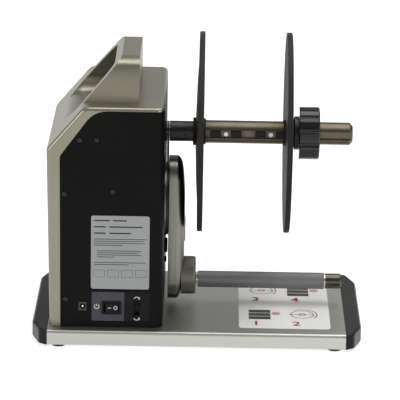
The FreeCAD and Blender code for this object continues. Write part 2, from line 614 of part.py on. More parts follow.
def make_chassis():
    y, low, top = HOUSE_Y - CHASSIS_INSET, HOUSE_BOTTOM, CHASSIS_TOP
    plate = prism_x(((-y, low), (y, low), (y, top), (-y, top)), (0, 0, 8.0, 8.0), CHASSIS_X0, CHASSIS_X1)
    foot = box(CHASSIS_FOOT_X, CHASSIS_X1, -y, y, BASE_TOP, BASE_TOP + 3)
    holes = [rod_x(CHASSIS_X0 - 1, CHASSIS_X1 + 1, 0, SPINDLE_Z, COLLAR_R + 0.2),
             rod_x(CHASSIS_X0 - 1, CHASSIS_X1 + 1, 0, PIVOT_Z, 9.2)]
    holes += [rod_x(CHASSIS_X0 - 1, CHASSIS_X1 + 1, y, z, 2.0) for y, z in STANDOFF_YZ]
    holes += [rod_x(CHASSIS_X0 - 1, CHASSIS_X1 + 1, y, z, 1.9) for y, z in PIVOT_SCREWS]
    holes += [rod_z(BASE_TOP - 1, BASE_TOP + 4, x, y, 2.2) for x, y in FOOT_HOLES]
    return plate.fuse(foot).removeSplitter().cut(holes)


def make_chassis_screws():
    screws = []
    for x, y in FOOT_HOLES:
        top = BASE_TOP + 3
        body = rod_z(BASE_TOP - 2.5, top, x, y, 2.0).fuse(rod_z(top, top + 4, x, y, 3.5))
        screws.append(body.cut(hex_z(top + 1.8, top + 5, x, y, 3.0)))
    for y, z in STANDOFF_YZ:
        face = MOTOR_PLATE_X0
        body = rod_x(face - 4, face, y, z, 3.5).fuse(rod_x(face, face + 11, y, z, 2.0))
        screws.append(body.cut(hex_x(face - 5, face - 1.8, y, z, 3.0)))
    return screws


def hex_z(z0, z1, x, y, across):
    r = across / math.sqrt(3)
    pts = [(x + r * math.cos(math.radians(60 * k)), y + r * math.sin(math.radians(60 * k))) for k in range(6)]
    return prism_z(pts, 0, z0, z1)


def make_motor_plate():
    half, low, top = MOTOR_PLATE_HALF, MOTOR_PLATE_LOW, MOTOR_PLATE_TOP
    corners = ((-half, low), (half, low), (half, top), (-half, top))
    plate = prism_x(corners, 6.0, MOTOR_PLATE_X0, MOTOR_PLATE_X1)
    x0, x1 = MOTOR_PLATE_X0 - 1, MOTOR_PLATE_X1 + 1
    holes = [rod_x(x0, x1, y, z, 2.1) for y, z in STANDOFF_YZ]
    for z, r in ((MOTOR_Z, 6.2), (SPINDLE_Z, 9.0), (SENSOR_Z, 3.6), (PIVOT_Z, 14.0)):
        holes.append(rod_x(x0, x1, 0, z, r))
    return plate.cut(holes)


def make_standoffs():
    out = []
    for y, z in STANDOFF_YZ:
        rod = hex_x(MOTOR_PLATE_X1, CHASSIS_X0, y, z, 8.0)
        rod = rod.cut(rod_x(MOTOR_PLATE_X1 - 1, MOTOR_PLATE_X1 + 9, y, z, 2.0))
        out.append(rod.fuse(rod_x(CHASSIS_X0, CHASSIS_X1, y, z, 2.0)))
    return out


def make_gearbox():
    body = rod_x(MOTOR_PLATE_X0 - GEARBOX_LEN, MOTOR_PLATE_X0, 0, MOTOR_Z, 18.5)
    nose = rod_x(MOTOR_PLATE_X0, MOTOR_PLATE_X0 + 4, 0, MOTOR_Z, 6.0)
    return body.fuse(nose).cut(rod_x(MOTOR_PLATE_X0 - 14, MOTOR_PLATE_X0 + 5, 0, MOTOR_Z, 3.0 + RUN))


def make_motor():
    front = MOTOR_PLATE_X0 - GEARBOX_LEN
    back = front - MOTOR_LEN
    can = rod_x(back, front, 0, MOTOR_Z, 17.5)
    can = round_end_x(can, back, 2.0)
    boss = rod_x(back - 2.5, back, 0, MOTOR_Z, 5.0)
    tags = [box(back - MOTOR_TAG[0], back + 1, y - 0.4, y + 0.4, MOTOR_Z - 2.2, MOTOR_Z + 2.2)
            for y in (-MOTOR_TAG[1], MOTOR_TAG[1])]
    return can.fuse([boss] + tags).removeSplitter()


def make_motor_pinion():
    mesh = math.pi / PINION_TEETH
    wheel = gear(PINION_TEETH, GEAR_X0 - 1, GEAR_X1 + 1, MOTOR_Z, math.pi / 2 + mesh)
    shaft = rod_x(MOTOR_PLATE_X0 - 12, GEAR_X1 + 2, 0, MOTOR_Z, 3.0)
    return wheel.fuse(shaft).removeSplitter()


def make_spindle_gear():
    wheel = gear(SPINDLE_TEETH, GEAR_X0, GEAR_X1, SPINDLE_Z, -math.pi / 2)
    hub = rod_x(GEAR_X0 - 3.5, GEAR_X1 + 1.2, 0, SPINDLE_Z, 10.0)
    body = wheel.fuse(hub).removeSplitter()
    holes = [rod_x(GEAR_X0 - 5, GEAR_X1 + 3, 0, SPINDLE_Z, SHAFT_R)]
    for a in range(30, 390, 60):
        holes.append(rod_x(GEAR_X0 - 1, GEAR_X1 + 1, *about_x(SPINDLE_Z, 16.3, a), 3.6))
    return body.cut(holes)


def make_bearing_block():
    x1 = CHASSIS_X0
    body = turned(((x1 - 28, 19.5), (x1 - 6, 19.5), (x1 - 6, 30.0), (x1, 30.0), (x1, COLLAR_R),
                   (NOSE_END, COLLAR_R), (NOSE_END, SHAFT_R + 0.4), (x1 - 3, SHAFT_R + 0.4), (x1 - 3, 14.0),
                   (x1 - 11, 14.0), (x1 - 11, 12.0), (x1 - 20, 12.0), (x1 - 20, 14.0), (x1 - 28, 14.0)))
    return body


def make_bearings():
    x1 = CHASSIS_X0
    rings = []
    for x in (x1 - 11, x1 - 28):
        ring = turned(((x, 14.0), (x + 8, 14.0), (x + 8, 11.2), (x + 7.2, 11.2), (x + 7.2, 8.6), (x + 8, 8.6),
                       (x + 8, SHAFT_R + RUN), (x, SHAFT_R + RUN), (x, 8.6), (x + 0.8, 8.6), (x + 0.8, 11.2),
                       (x, 11.2)))
        rings.append(ring)
    return rings


def make_arm_block():
    x1 = CHASSIS_X0
    r = ARM_SHAFT_R
    return turned(((x1 - 20, 12.0), (x1 - 5, 12.0), (x1 - 5, 24.0), (x1, 24.0), (x1, 9.0), (SPACER_X0, 9.0),
                   (SPACER_X0, r + RUN), (x1 - 20, r + RUN)), PIVOT_Z)


def make_stop_pins():
    pins = []
    for s in (-1, 1):
        y, z = about_x(PIVOT_Z, 24.0, -90 + s * (ARM_SWING + SECTOR_HALF + 8.0))
        collar = rod_x(MOTOR_PLATE_X1, MOTOR_PLATE_X1 + 3, y, z, 4.5)
        pins.append(rod_x(MOTOR_PLATE_X1, SECTOR_X1 + 2, y, z, 3.0).fuse(collar))
    return pins


def make_sensor_body():
    x = MOTOR_PLATE_X1
    body = rod_x(x, x + 9, 0, SENSOR_Z, 9.0).fuse(rod_x(x + 9, x + 13, 0, SENSOR_Z, 4.0))
    body = body.cut(rod_x(x + 2, x + 14, 0, SENSOR_Z, 2.0 + RUN))
    pins = [box(x + 3, x + 3.6, y - 0.8, y + 0.8, SENSOR_Z - 14, SENSOR_Z - 8.0) for y in (-4, 0, 4)]
    return body.fuse(pins).removeSplitter()


def make_sensor_pinion():
    mesh = math.pi / SENSOR_TEETH
    wheel = gear(SENSOR_TEETH, SECTOR_X0 - 1, SECTOR_X1 + 1, SENSOR_Z, math.pi / 2 + mesh)
    return wheel.fuse(rod_x(MOTOR_PLATE_X1 + 3, SECTOR_X1 + 1.5, 0, SENSOR_Z, 2.0)).removeSplitter()


def make_sector():
    step = 2 * math.pi / SECTOR_TEETH
    count = 2 * int(round(math.radians(SECTOR_HALF) / step)) - 1
    first = -(count // 2)
    pts = involute_points(SECTOR_TEETH, SECTOR_X0, first=first, count=count, phase=-math.pi / 2)
    rf = MODULE * SECTOR_TEETH / 2 - 1.25 * MODULE
    a0, a1 = -90 - SECTOR_HALF, -90 + SECTOR_HALF
    ends = [V(SECTOR_X0, *about_x(0, r, a)) for r, a in ((rf, a0), (rf, a1), (9.0, a1), (9.0, a0))]
    pts = ends[:1] + pts + ends[1:]
    fan = Part.Face(Part.makePolygon(pts + [pts[0]])).extrude(V(SECTOR_X1 - SECTOR_X0, 0, 0))
    fan.translate(V(0, 0, PIVOT_Z))
    hub = rod_x(SECTOR_X0 - 3, SECTOR_X1 + 0.6, 0, PIVOT_Z, 10.5)
    return fan.fuse(hub).removeSplitter().cut(rod_x(SECTOR_X0 - 4, SECTOR_X1 + 2, 0, PIVOT_Z, ARM_SHAFT_R))


def make_pivot_spacer():
    body = ring_x(SPACER_X0, SPACER_X1, 0, PIVOT_Z, 41.0, 9.0 + FIT)
    return body.cut([rod_x(SPACER_X0 - 1, SPACER_X1 + 1, y, z, 2.2) for y, z in PIVOT_SCREWS])


def make_pivot_plate():
    body = rod_x(SPACER_X1, PIVOT_FACE, 0, PIVOT_Z, 39.5)
    strap = box(SPACER_X1 + 0.1, PIVOT_FACE, -11, 11, PIVOT_Z, SPINDLE_Z)
    strap = strap.fuse(rod_x(SPACER_X1 + 0.1, PIVOT_FACE, 0, SPINDLE_Z, 11.0))
    body = body.fuse(strap).removeSplitter()
    x0, x1 = SPACER_X1 - 1, PIVOT_FACE + 1
    cuts = [rod_x(x0, x1, 0, SPINDLE_Z, SHAFT_R + 0.8), rod_x(x0, x1, 0, PIVOT_Z, ARM_SHAFT_R + 0.6)]
    for y, z in PIVOT_SCREWS:
        cuts.append(rod_x(x0, x1, y, z, 2.1))
        cuts.append(Part.makeCone(2.1, 4.1, 2.0, V(PIVOT_FACE - 2.0 + 0.01, y, z), AX))
    return body.cut(cuts)


def make_face_screws():
    screws = []
    for y, z in PIVOT_SCREWS:
        head = Part.makeCone(2.0, 3.9, 1.9, V(PIVOT_FACE - 2.0, y, z), AX)
        body = head.fuse(rod_x(CHASSIS_X0 - 2, PIVOT_FACE - 2.0, y, z, 1.9))
        screws.append(body.cut(hex_x(PIVOT_FACE - 1.4, PIVOT_FACE + 1, y, z, 2.4)).removeSplitter())
    small = rod_x(HOUSE_RIGHT, HOUSE_RIGHT + 2.3, 0, BUFFER_SCREW_Z, 3.3)
    small = round_end_x(small, HOUSE_RIGHT + 2.3, 1.0)
    screws.append(small.fuse(rod_x(HOUSE_RIGHT - 3.5, HOUSE_RIGHT, 0, BUFFER_SCREW_Z, 1.6)))
    return screws


def make_buffer():
    pad = rod_x(HOUSE_RIGHT, HOUSE_RIGHT + 3.2, 0, BUFFER_Z, 8.3)
    pad = round_end_x(pad, HOUSE_RIGHT + 3.2, 1.2)
    return pad.fuse(rod_x(HOUSE_RIGHT - 3.4, HOUSE_RIGHT, 0, BUFFER_Z, 2.1)).removeSplitter()


def make_shaft():
    x0, x1, r = SHAFT_IN, SHAFT_OUT, SHAFT_R
    return turned(((x0, 0), (x0, r - 0.6), (x0 + 0.6, r), (x1 - 0.6, r), (x1, r - 0.6), (x1, 0)))


def make_collar():
    x0, x1 = COLLAR_IN, COLLAR_OUT
    body = turned(((x0, SHAFT_R), (x0, COLLAR_R - 0.5), (x0 + 0.5, COLLAR_R), (x1, COLLAR_R), (x1, SHAFT_R)))
    return body.cut(rod_y(-20, 0, SET_SCREW_X, SPINDLE_Z, 2.0).cut(rod_x(x0, x1, 0, SPINDLE_Z, SHAFT_R)))


def make_set_screw():
    body = rod_y(-COLLAR_R + 1.4, -SHAFT_R - 0.1, SET_SCREW_X, SPINDLE_Z, 1.95)
    return body.cut(hex_y(-COLLAR_R, -COLLAR_R + 3.2, SET_SCREW_X, SPINDLE_Z, 2.0))


def make_mandrel():
    x0, x1, stub = COLLAR_OUT, MANDREL_END, KNOB_OUT + GAP
    body = turned(((x0, SHAFT_R), (x0, MANDREL_R), (stub, MANDREL_R), (stub, STUB_R),
                   (x1 - MANDREL_CHAMFER, STUB_R), (x1, STUB_R - MANDREL_CHAMFER), (x1, SHAFT_R)))
    cuts = []
    for s in (-1, 1):
        a, b = sorted((s * KEYWAY_FLOOR, s * 20))
        cuts.append(box(INNER_FACE - 0.5, x1 + 1, a, b, SPINDLE_Z - KEYWAY_W / 2, SPINDLE_Z + KEYWAY_W / 2))
        for x in GRIP_SCREWS_X:
            a, b = sorted((s * SHAFT_R, s * KEYWAY_FLOOR))
            cuts.append(rod_y(a - 0.2, b + 0.2, x, SPINDLE_Z, 1.2))
    return body.cut(cuts)


def both_keyways(make):
    out = []
    for s in (-1, 1):
        out += make(s)
    return out


def slab_y(s, r0, r1, x0, x1, half):
    a, b = sorted((s * r0, s * r1))
    return box(x0, x1, a, b, SPINDLE_Z - half, SPINDLE_Z + half)


def make_grip_springs():
    def leaves(s):
        out = []
        for x in GRIP_SCREWS_X:
            leaf = slab_y(s, KEYWAY_FLOOR, KEYWAY_FLOOR + 0.6, x - 20.4, x + 20.4, 3.9)
            a, b = sorted((s * 5, s * 14))
            out.append(leaf.cut(rod_y(a, b, x, SPINDLE_Z, 1.3)))
        return out
    return both_keyways(leaves)


def make_grip_pads():
    def pads(s):
        out = []
        for x in GRIP_SCREWS_X:
            for x0, x1 in ((x - 17.0, x - 5.5), (x + 5.4, x + 16.9)):
                pad = slab_y(s, KEYWAY_FLOOR + 0.6, MANDREL_R - 0.5, x0, x1, 3.6)
                out.append(pad)
        return out
    return both_keyways(pads)


def make_grip_screws():
    def screws(s):
        out = []
        for x in GRIP_SCREWS_X:
            r = KEYWAY_FLOOR + 0.6
            a, b = sorted((s * r, s * (r + 1.8)))
            c, d = sorted((s * (SHAFT_R + 0.2), s * r))
            e, f = sorted((s * (r + 0.8), s * (r + 3)))
            body = rod_y(a, b, x, SPINDLE_Z, 2.4).fuse(rod_y(c, d, x, SPINDLE_Z, 1.2))
            out.append(body.cut(box(x - 0.4, x + 0.4, e, f, SPINDLE_Z - 3, SPINDLE_Z + 3)))
        return out
    return both_keyways(screws)


def flange_profile(face, out, bore, hub_end):
    """Turned flange: flat face towards the labels, shallow cone outside. out = -1 or +1."""
    f = lambda t: face + out * t
    return ((f(0.4), FLANGE_R), (f(RIM_T - 0.8), FLANGE_R), (f(RIM_T), FLANGE_R - 0.9),
            (f(6.4), 77.0), (f(7.7), 54.0), (f(8.7), HUB_R + 6), (f(8.9), HUB_R),
            (f(hub_end), HUB_R), (f(hub_end), bore), (f(-2.2), bore),
            (f(-2.2), HUB_R - 1.3), (f(-1.8), HUB_R - 0.9), (f(0.0), HUB_R - 0.9), (f(0.0), FLANGE_R - 0.5))


def make_inner_flange():
    return turned(flange_profile(INNER_FACE, -1, MANDREL_R, INNER_FACE - COLLAR_OUT))


def make_outer_flange():
    bore = MANDREL_R + SLIDE
    return turned(flange_profile(OUTER_FACE, 1, bore, 9.6))


def make_collet():
    x0, x1 = OUTER_FACE + 9.6, COLLET_END
    bore = MANDREL_R + SLIDE
    body = turned(((x0, bore), (x0, COLLET_R - 0.8), (x0 + 0.8, COLLET_R), (x1, COLLET_R), (x1, bore)))
    return body.cut(box(x0 + 2, x1 + 1, 0, 30, SPINDLE_Z - 0.8, SPINDLE_Z + 0.8))


def make_knob():
    bore = MANDREL_R + SLIDE
    x0, x1 = KNOB_IN, KNOB_OUT
    body = turned(((x0, bore), (x0, KNOB_R - 0.7), (x0 + 0.7, KNOB_R), (x1 - 1.4, KNOB_R), (x1, KNOB_R - 1.4),
                   (x1, 20.0), (x1 - 1.4, 18.6), (x1 - 1.4, bore)))
    centre = KNOB_R - KNOB_GROOVE_DEPTH + KNOB_GROOVE_R
    cuts = []
    for k in range(KNOB_LOBES):
        y, z = about_x(SPINDLE_Z, centre, KNOB_TURN + 360.0 * k / KNOB_LOBES)
        cuts.append(rod_x(x0 - 1, x1 + 1, y, z, KNOB_GROOVE_R))
    return body.cut(cuts)


def obround_wire(x, half, low, top):
    """Upright obround across X, its ends at heights low and top."""
    z0, z1 = low + half, top - half
    return Part.Wire([Part.makeLine(V(x, half, z0), V(x, half, z1)),
                      Part.Arc(V(x, half, z1), V(x, 0, top), V(x, -half, z1)).toShape(),
                      Part.makeLine(V(x, -half, z1), V(x, -half, z0)),
                      Part.Arc(V(x, -half, z0), V(x, 0, low), V(x, half, z0)).toShape()])


def arm_dome(wall=0.0):
    """Crowned cover form: obrounds that shrink as they rise, sooner at the ends than at the sides."""
    rise = ARM_OUT - ARM_MID
    sections = [obround_wire(ARM_MID + share * (rise - wall), ARM_R - side - wall, ARM_LOW + foot + wall,
                             ARM_TOP - head - wall) for share, side, head, foot in ARM_CROWN]
    return Part.makeLoft(sections, True, False)


def make_arm_plate():
    body = Part.Face(obround_wire(ARM_IN, ARM_R, ARM_LOW, ARM_TOP)).extrude(V(ARM_MID - ARM_IN, 0, 0))
    body = round_end_x(body, ARM_IN, 0.8)
    return body.cut([rod_x(ARM_IN - 1, ARM_MID + 1, 0, PIVOT_Z, ARM_SHAFT_R),
                     rod_x(ARM_IN - 1, ARM_MID + 1, 0, ROLLER_Z, AXLE_R)])


def make_arm_cover():
    outer = arm_dome()
    post = rod_x(ARM_MID, ARM_OUT, 0, ROLLER_Z, 8.0).common(outer)
    return outer.cut(arm_dome(ARM_WALL)).fuse(post).cut(rod_x(ARM_MID - 1, ARM_OUT + 1, 0, ROLLER_Z, AXLE_R))


def make_arm_shaft():
    head = hex_x(ARM_MID, ARM_MID + 4.5, 0, PIVOT_Z, 15.0)
    return head.fuse(rod_x(SECTOR_X0 - 4.5, ARM_MID, 0, PIVOT_Z, ARM_SHAFT_R)).removeSplitter()


def make_roller_hub():
    body = rod_x(ARM_MID + HUB_SEAT, HUB_DISC_OUT, 0, HUB_DISC_Z, HUB_DISC_R)
    body = round_end_x(body, HUB_DISC_OUT, 2.6)
    return body.cut([arm_dome(), rod_x(ARM_MID, HUB_DISC_OUT + 1, 0, ROLLER_Z, AXLE_R)])


def make_axle():
    return rod_x(ARM_IN + 1.5, AXLE_OUT, 0, ROLLER_Z, AXLE_R)


def make_spacers():
    x0, x1 = HUB_DISC_OUT, ROLLER_IN - GAP
    left = turned(((x0, AXLE_R), (x0, 6.6), (x0 + 0.8, 5.8), (x1, 5.8), (x1, AXLE_R)), ROLLER_Z)
    right = ring_x(ROLLER_OUT + GAP, AXLE_OUT + END_COLLAR_FLOOR - END_COLLAR_L, 0, ROLLER_Z, 7.8, AXLE_R)
    return [left, right]


def make_end_collar():
    x1, r = AXLE_OUT + END_COLLAR_FLOOR, END_COLLAR_R
    x0 = x1 - END_COLLAR_L
    return turned(((x0, AXLE_R), (x0, r), (x1 - 1.6, r), (x1, r - 1.6), (x1, 0), (AXLE_OUT, 0),
                   (AXLE_OUT, AXLE_R)), ROLLER_Z)


def make_roller():
    r = ROLLER_R
    return turned(((ROLLER_IN, 7.0), (ROLLER_IN, r - 0.5), (ROLLER_IN + 0.5, r), (ROLLER_OUT - 0.5, r),
                   (ROLLER_OUT, r - 0.5), (ROLLER_OUT, 7.0)), ROLLER_Z)


def make_bushes():
    return [ring_x(ROLLER_IN, ROLLER_IN + 10, 0, ROLLER_Z, 7.0, AXLE_R + RUN),
            ring_x(ROLLER_OUT - 10, ROLLER_OUT, 0, ROLLER_Z, 7.0, AXLE_R + RUN)]


def leads(points, radius):
    out = [Part.makeSphere(radius, V(*p)) for p in points[1:-1]]
    for a, b in zip(points, points[1:]):
        a, b = V(*a), V(*b)
        out.append(Part.makeCylinder(radius, (b - a).Length, a, b - a))
    return fuse(out)


def make_wiring():
    tag_x = MOTOR_PLATE_X0 - GEARBOX_LEN - MOTOR_LEN - MOTOR_TAG[0]
    plug_y, plug_z = BOARD_Y1 + 3.5, BOARD_Z[0] + BOARD_SOCKET_UP + 7.5
    run_y, run_z = plug_y + 15, BOARD_Z[1] + 10
    motor_plug, sensor_plug = (BOARD_X[0] + across + 6 for across in BOARD_SOCKETS)
    motor = [leads(((tag_x + 1, s * MOTOR_TAG[1], MOTOR_Z - 3.2), (tag_x + 1, s * 8 - 20, MOTOR_Z - 64),
                    (BOARD_X[0] + 6 + 3 * s, run_y, run_z), (motor_plug + 3 * s, run_y, run_z),
                    (motor_plug + 3 * s, plug_y, plug_z)), 1.0) for s in (-1, 1)]
    low, face = run_z - 4, MOTOR_PLATE_X1
    sensor = [leads(((face + 3.3, 4 * k, SENSOR_Z - 15), (face + 6 + 4 * k, 2 * k - 30, low),
                     (sensor_plug + 3 * k, run_y + 2, low), (sensor_plug + 3 * k, plug_y, plug_z)), 0.8)
              for k in (-1, 0, 1)]
    return motor + sensor


# Shared positions that follow from the sizes above
HOUSE_Y = BASE_DEPTH / 2 - HOUSE_INSET
ROLLER_OUT = AXLE_OUT + END_COLLAR_FLOOR - END_COLLAR_L - COLLAR_GAP
CHASSIS_FOOT_X = -74.0
FOOT_HOLES = [(CHASSIS_FOOT_X + 9.0, s * y) for y in (HOUSE_Y - CHASSIS_INSET - 13.0, 22.0) for s in (-1, 1)]
BOARD_Y0 = BOARD_DEEP - HOUSE_Y
BOARD_Y1 = BOARD_Y0 + BOARD_T
ROCKER_AXIS_Y = -HOUSE_Y + 2.6
SPACER_X0, SPACER_X1 = HOUSE_RIGHT, -35.9
PIVOT_FACE = -33.8
NOSE_END = SPACER_X1 - 0.2
PIVOT_SCREWS = [about_x(PIVOT_Z, 30.0, a) for a in (45, 135, 225, 315)]
BUFFER_Z, BUFFER_SCREW_Z = 85.0, 68.7
SET_SCREW_X = -16.5
SECTOR_HALF = 46.0

NODES = {
    "base_extrusion": make_base(),
    "left_end_cap": make_cap(-1),
    "right_end_cap": make_cap(1),
    "end_cap_screws": make_cap_screws(),
    "rubber_feet": make_feet(),
    "instruction_sheet": make_sheet(),
    "outer_shell": make_shell(),
    "side_cover": make_cover(),
    "cover_screws": make_cover_screws(),
    "tie_rods": make_tie_rods(),
    "rating_label": make_rating_label(),
    "switch_plate": make_switch_plate(),
    "power_jack": make_jack(),
    "jack_pin": make_jack_pin(),
    "rocker_bezel": make_rocker_bezel(),
    "rocker_button": make_rocker_button(),
    "direction_switch_body": make_slide_body(),
    "direction_slider": make_slider(),
    "circuit_board": make_board(),
    "board_parts": make_board_parts(),
    "wiring": make_wiring(),
    "chassis_plate": make_chassis(),
    "chassis_screws": make_chassis_screws(),
    "motor_plate": make_motor_plate(),
    "plate_standoffs": make_standoffs(),
    "gearbox": make_gearbox(),
    "motor_can": make_motor(),
    "motor_pinion": make_motor_pinion(),
    "spindle_bearing_block": make_bearing_block(),
    "spindle_bearings": make_bearings(),
    "arm_bearing_block": make_arm_block(),
    "arm_stop_pins": make_stop_pins(),
    "angle_sensor_body": make_sensor_body(),
    "sensor_pinion": make_sensor_pinion(),
    "pivot_spacer": make_pivot_spacer(),
    "pivot_plate": make_pivot_plate(),
    "face_screws": make_face_screws(),
    "arm_buffer": make_buffer(),
    "spindle_shaft": make_shaft(),
    "spindle_gear": make_spindle_gear(),
    "spindle_collar": make_collar(),
    "collar_set_screw": make_set_screw(),
    "mandrel": make_mandrel(),
    "grip_springs": make_grip_springs(),
    "grip_pads": make_grip_pads(),
    "grip_screws": make_grip_screws(),
    "inner_flange": make_inner_flange(),
    "outer_flange": make_outer_flange(),
    "flange_collet": make_collet(),
    "clamp_knob": make_knob(),
    "arm_plate": make_arm_plate(),
    "arm_cover": make_arm_cover(),
    "arm_shaft": make_arm_shaft(),
    "sector_gear": make_sector(),
    "roller_hub": make_roller_hub(),
    "roller_axle": make_axle(),
    "roller_spacers": make_spacers(),
    "roller_end_collar": make_end_collar(),
    "roller_tube": make_roller(),
    "roller_bushes": make_bushes(),
}

for name, shape in NODES.items():
    if isinstance(shape, list):
        shape = Part.makeCompound([s.Solids[0] for s in shape])
    elif len(shape.Solids) == 1:
        shape = shape.Solids[0]
    print(name, len(shape.Solids), "valid" if shape.isValid() else "INVALID",
          [round(v, 1) for v in (shape.BoundBox.XMin, shape.BoundBox.XMax, shape.BoundBox.YMin,
                                 shape.BoundBox.YMax, shape.BoundBox.ZMin, shape.BoundBox.ZMax)])
    shape.exportStep("parts/" + name + ".step")
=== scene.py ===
import math
from collections import Counter

import bmesh
import bpy
from mathutils import Matrix, Vector


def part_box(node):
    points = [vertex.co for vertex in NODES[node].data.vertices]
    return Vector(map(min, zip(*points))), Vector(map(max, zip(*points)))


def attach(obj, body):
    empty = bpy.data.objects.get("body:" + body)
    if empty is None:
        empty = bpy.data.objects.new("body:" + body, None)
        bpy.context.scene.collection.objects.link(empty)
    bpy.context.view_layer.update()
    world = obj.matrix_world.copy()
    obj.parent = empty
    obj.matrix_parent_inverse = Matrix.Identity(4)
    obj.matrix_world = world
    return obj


# Looks of the label rewinder. Metres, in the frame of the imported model: X along the mandrel to its
# free end, Y away from the switch side, Z up.

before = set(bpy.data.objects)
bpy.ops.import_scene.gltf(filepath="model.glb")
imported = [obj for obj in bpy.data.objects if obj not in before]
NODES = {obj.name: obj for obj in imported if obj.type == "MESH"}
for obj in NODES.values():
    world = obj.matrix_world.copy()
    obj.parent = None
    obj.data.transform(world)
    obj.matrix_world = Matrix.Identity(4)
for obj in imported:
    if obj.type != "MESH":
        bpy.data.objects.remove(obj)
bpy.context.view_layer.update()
MM = 0.001

# Camera, fitted to the base, flanges and mandrel of the photograph. Angles in degrees
PHOTO_WIDTH_PX = 400
FOCAL_PX = 2800.0
CAMERA_AT = Vector((0.01244, -2.97127, 1.0229))
CAMERA_YAW, CAMERA_PITCH, CAMERA_ROLL = -0.22, 16.59, -0.94
SENSOR_MM = 36.0

# Lamps: place, width and power of each square soft box, all aimed at the object's middle
AIM = Vector((0.0, 0.0, 0.15))
SOFT_BOXES = (
    ("key_left", Vector((-2.4, -1.5, 1.3)), 1.6, 27.0),
    ("key_right", Vector((2.1, -1.9, 0.9)), 1.2, 14.0),
    ("top", Vector((0.5, 0.3, 2.4)), 2.2, 44.0),
)

# Room: its light on dull surfaces, and what the camera and glossy surfaces see of it. That is white at
# the horizon and fades to grey as the view direction's Z goes up.
ROOM_LIGHT = 0.25
ROOM_WHITE_UP_TO, ROOM_GREY_FROM, ROOM_GREY = 0.13, 0.28, 0.30
FLOOR_GLOW = 0.74
FLOOR_COLOUR = 0.58
FLOOR_ROUGHNESS = 0.9
FLOOR_HALF = 3.0
WHITE = (1.0, 1.0, 1.0, 1.0)

# Noise: where most of its values lie, the part of it that a tint follows, and how a seed moves it
NOISE_RANGE, TINT_RANGE = (0.3, 0.7), (0.35, 0.65)
SEED_STEPS = (1.0, 0.7, 1.3)

# Pattern of each kind of finish: its seed and its waves per metre, which are along and across an axis
# where the kind has one
BRUSHED_SEED, BRUSHED_LINES_ALONG, BRUSHED_STREAKS = 3.1, 9.0, (3.0, 130.0)
TURNED_SEED, TURNED_RINGS_ACROSS, TURNED_STAINS = 1.7, 14.0, (90.0, 30.0)
FLANGE_SEED, FLANGE_RINGS, FLANGE_CLOUD = 2.3, 700.0, 20.0
MOULDED_SEED, MOULDED_CLOUD = 5.3, 22.0
SWITCH_GRAIN, SWITCH_CLOUD = 1800.0, 60.0

# How far each kind's roughness goes below and above its own value
TURNED_UNEVEN, FLANGE_UNEVEN = (0.05, 0.07), (0.08, 0.06)
MOULDED_UNEVEN, SWITCH_UNEVEN = (0.05, 0.06), (0.06, 0.08)

# Bumps: how strong they are, and how deep where a finish has no depth of its own
BRUSHED_BUMP, MOULDED_BUMP, FINE_BUMP = 0.25, 0.35, 0.2
FINE_DEPTH = 0.02 * MM

# Prints: a film's thickness, how near two corners count as one, the flat pieces in a full ring and at
# least in part of one, an arrow head in line widths, and a number's type size and boldness in its heights
FILM = 0.05 * MM
SAME_PLACE_DIGITS = 7
SAME_PLACE = 10.0 ** -SAME_PLACE_DIGITS
RING_PIECES, FEWEST_PIECES = 36, 4
ARROW_HEAD_LONG, ARROW_HEAD_HALF = 2.4, 1.5
TYPE_SIZE, TYPE_BOLDER = 1.4, 0.03

# Switch plate: its black right part, then the power mark and the direction arrows from the plate's low
# corner. An arc is its start and its turn in degrees.
BLACK_PART_WIDE = 27.7 * MM
POWER_MARK_RIGHT, POWER_MARK_UP, POWER_MARK_R = 5.5 * MM, 16.2 * MM, 3.0 * MM
POWER_ARC = (125.0, 290.0)
ARROW_ABOVE_UP, ARROW_ABOVE_ARC = 24.6 * MM, (160.0, -120.0)
ARROW_BELOW_UP, ARROW_BELOW_ARC = 4.4 * MM, (200.0, 120.0)
ARROW_R, ARROW_WIDE = 3.1 * MM, 1.0 * MM

# The power mark's hole, and its stem's half width, foot and top, as shares of its radius
POWER_HOLE, STEM_HALF, STEM_FOOT, STEM_TOP = 0.66, 0.16, 0.1, 1.05

# Rocker marks, from the middle of the bezel
OFF_MARK_X, OFF_MARK_R, OFF_MARK_HOLE = 4.5 * MM, 2.3 * MM, 1.3 * MM
ON_MARK_X, ON_MARK_LONG, ON_MARK_WIDE = -2.1 * MM, 3.8 * MM, 1.0 * MM
RAY_START = 10.0 * MM

# Rating label: rows of plain bars from the top, with their height, the gap above and where each bar runs
# across the label, then a row of empty frames
LABEL_MARGIN = 3.0 * MM
HEAD, LINE, GAP, BREAK = 1.5 * MM, 0.7 * MM, 1.6 * MM, 5.6 * MM
LABEL_ROWS = (
    (HEAD, GAP, ((0.0, 0.30), (0.36, 0.62))),
    (HEAD, BREAK, ((0.0, 0.22), (0.30, 0.92))),
    (HEAD, BREAK, ((0.0, 0.22), (0.30, 0.70))),
    (LINE, BREAK, ((0.0, 1.0),)),
    (LINE, GAP, ((0.0, 0.94),)),
    (LINE, GAP, ((0.0, 0.97),)),
    (LINE, GAP, ((0.0, 0.55),)),
    (LINE, BREAK, ((0.06, 0.90),)),
    (LINE, GAP, ((0.06, 0.84),)),
    (LINE, GAP, ((0.06, 0.90),)),
    (LINE, GAP, ((0.06, 0.40),)),
    (LINE, BREAK, ((0.0, 0.98),)),
    (LINE, GAP, ((0.0, 0.66),)),
)
LABEL_FRAMES, FRAME_HIGH_SHARE, FRAME_LINE = 4, 0.7, 0.3 * MM

# Sheet cells, from the sheet's low corner
CELL_AT, CELL_PITCH = (11.0 * MM, 30.0 * MM), (44.0 * MM, 82.0 * MM)
CELL_COUNT, CELL_COLUMNS = 4, 2

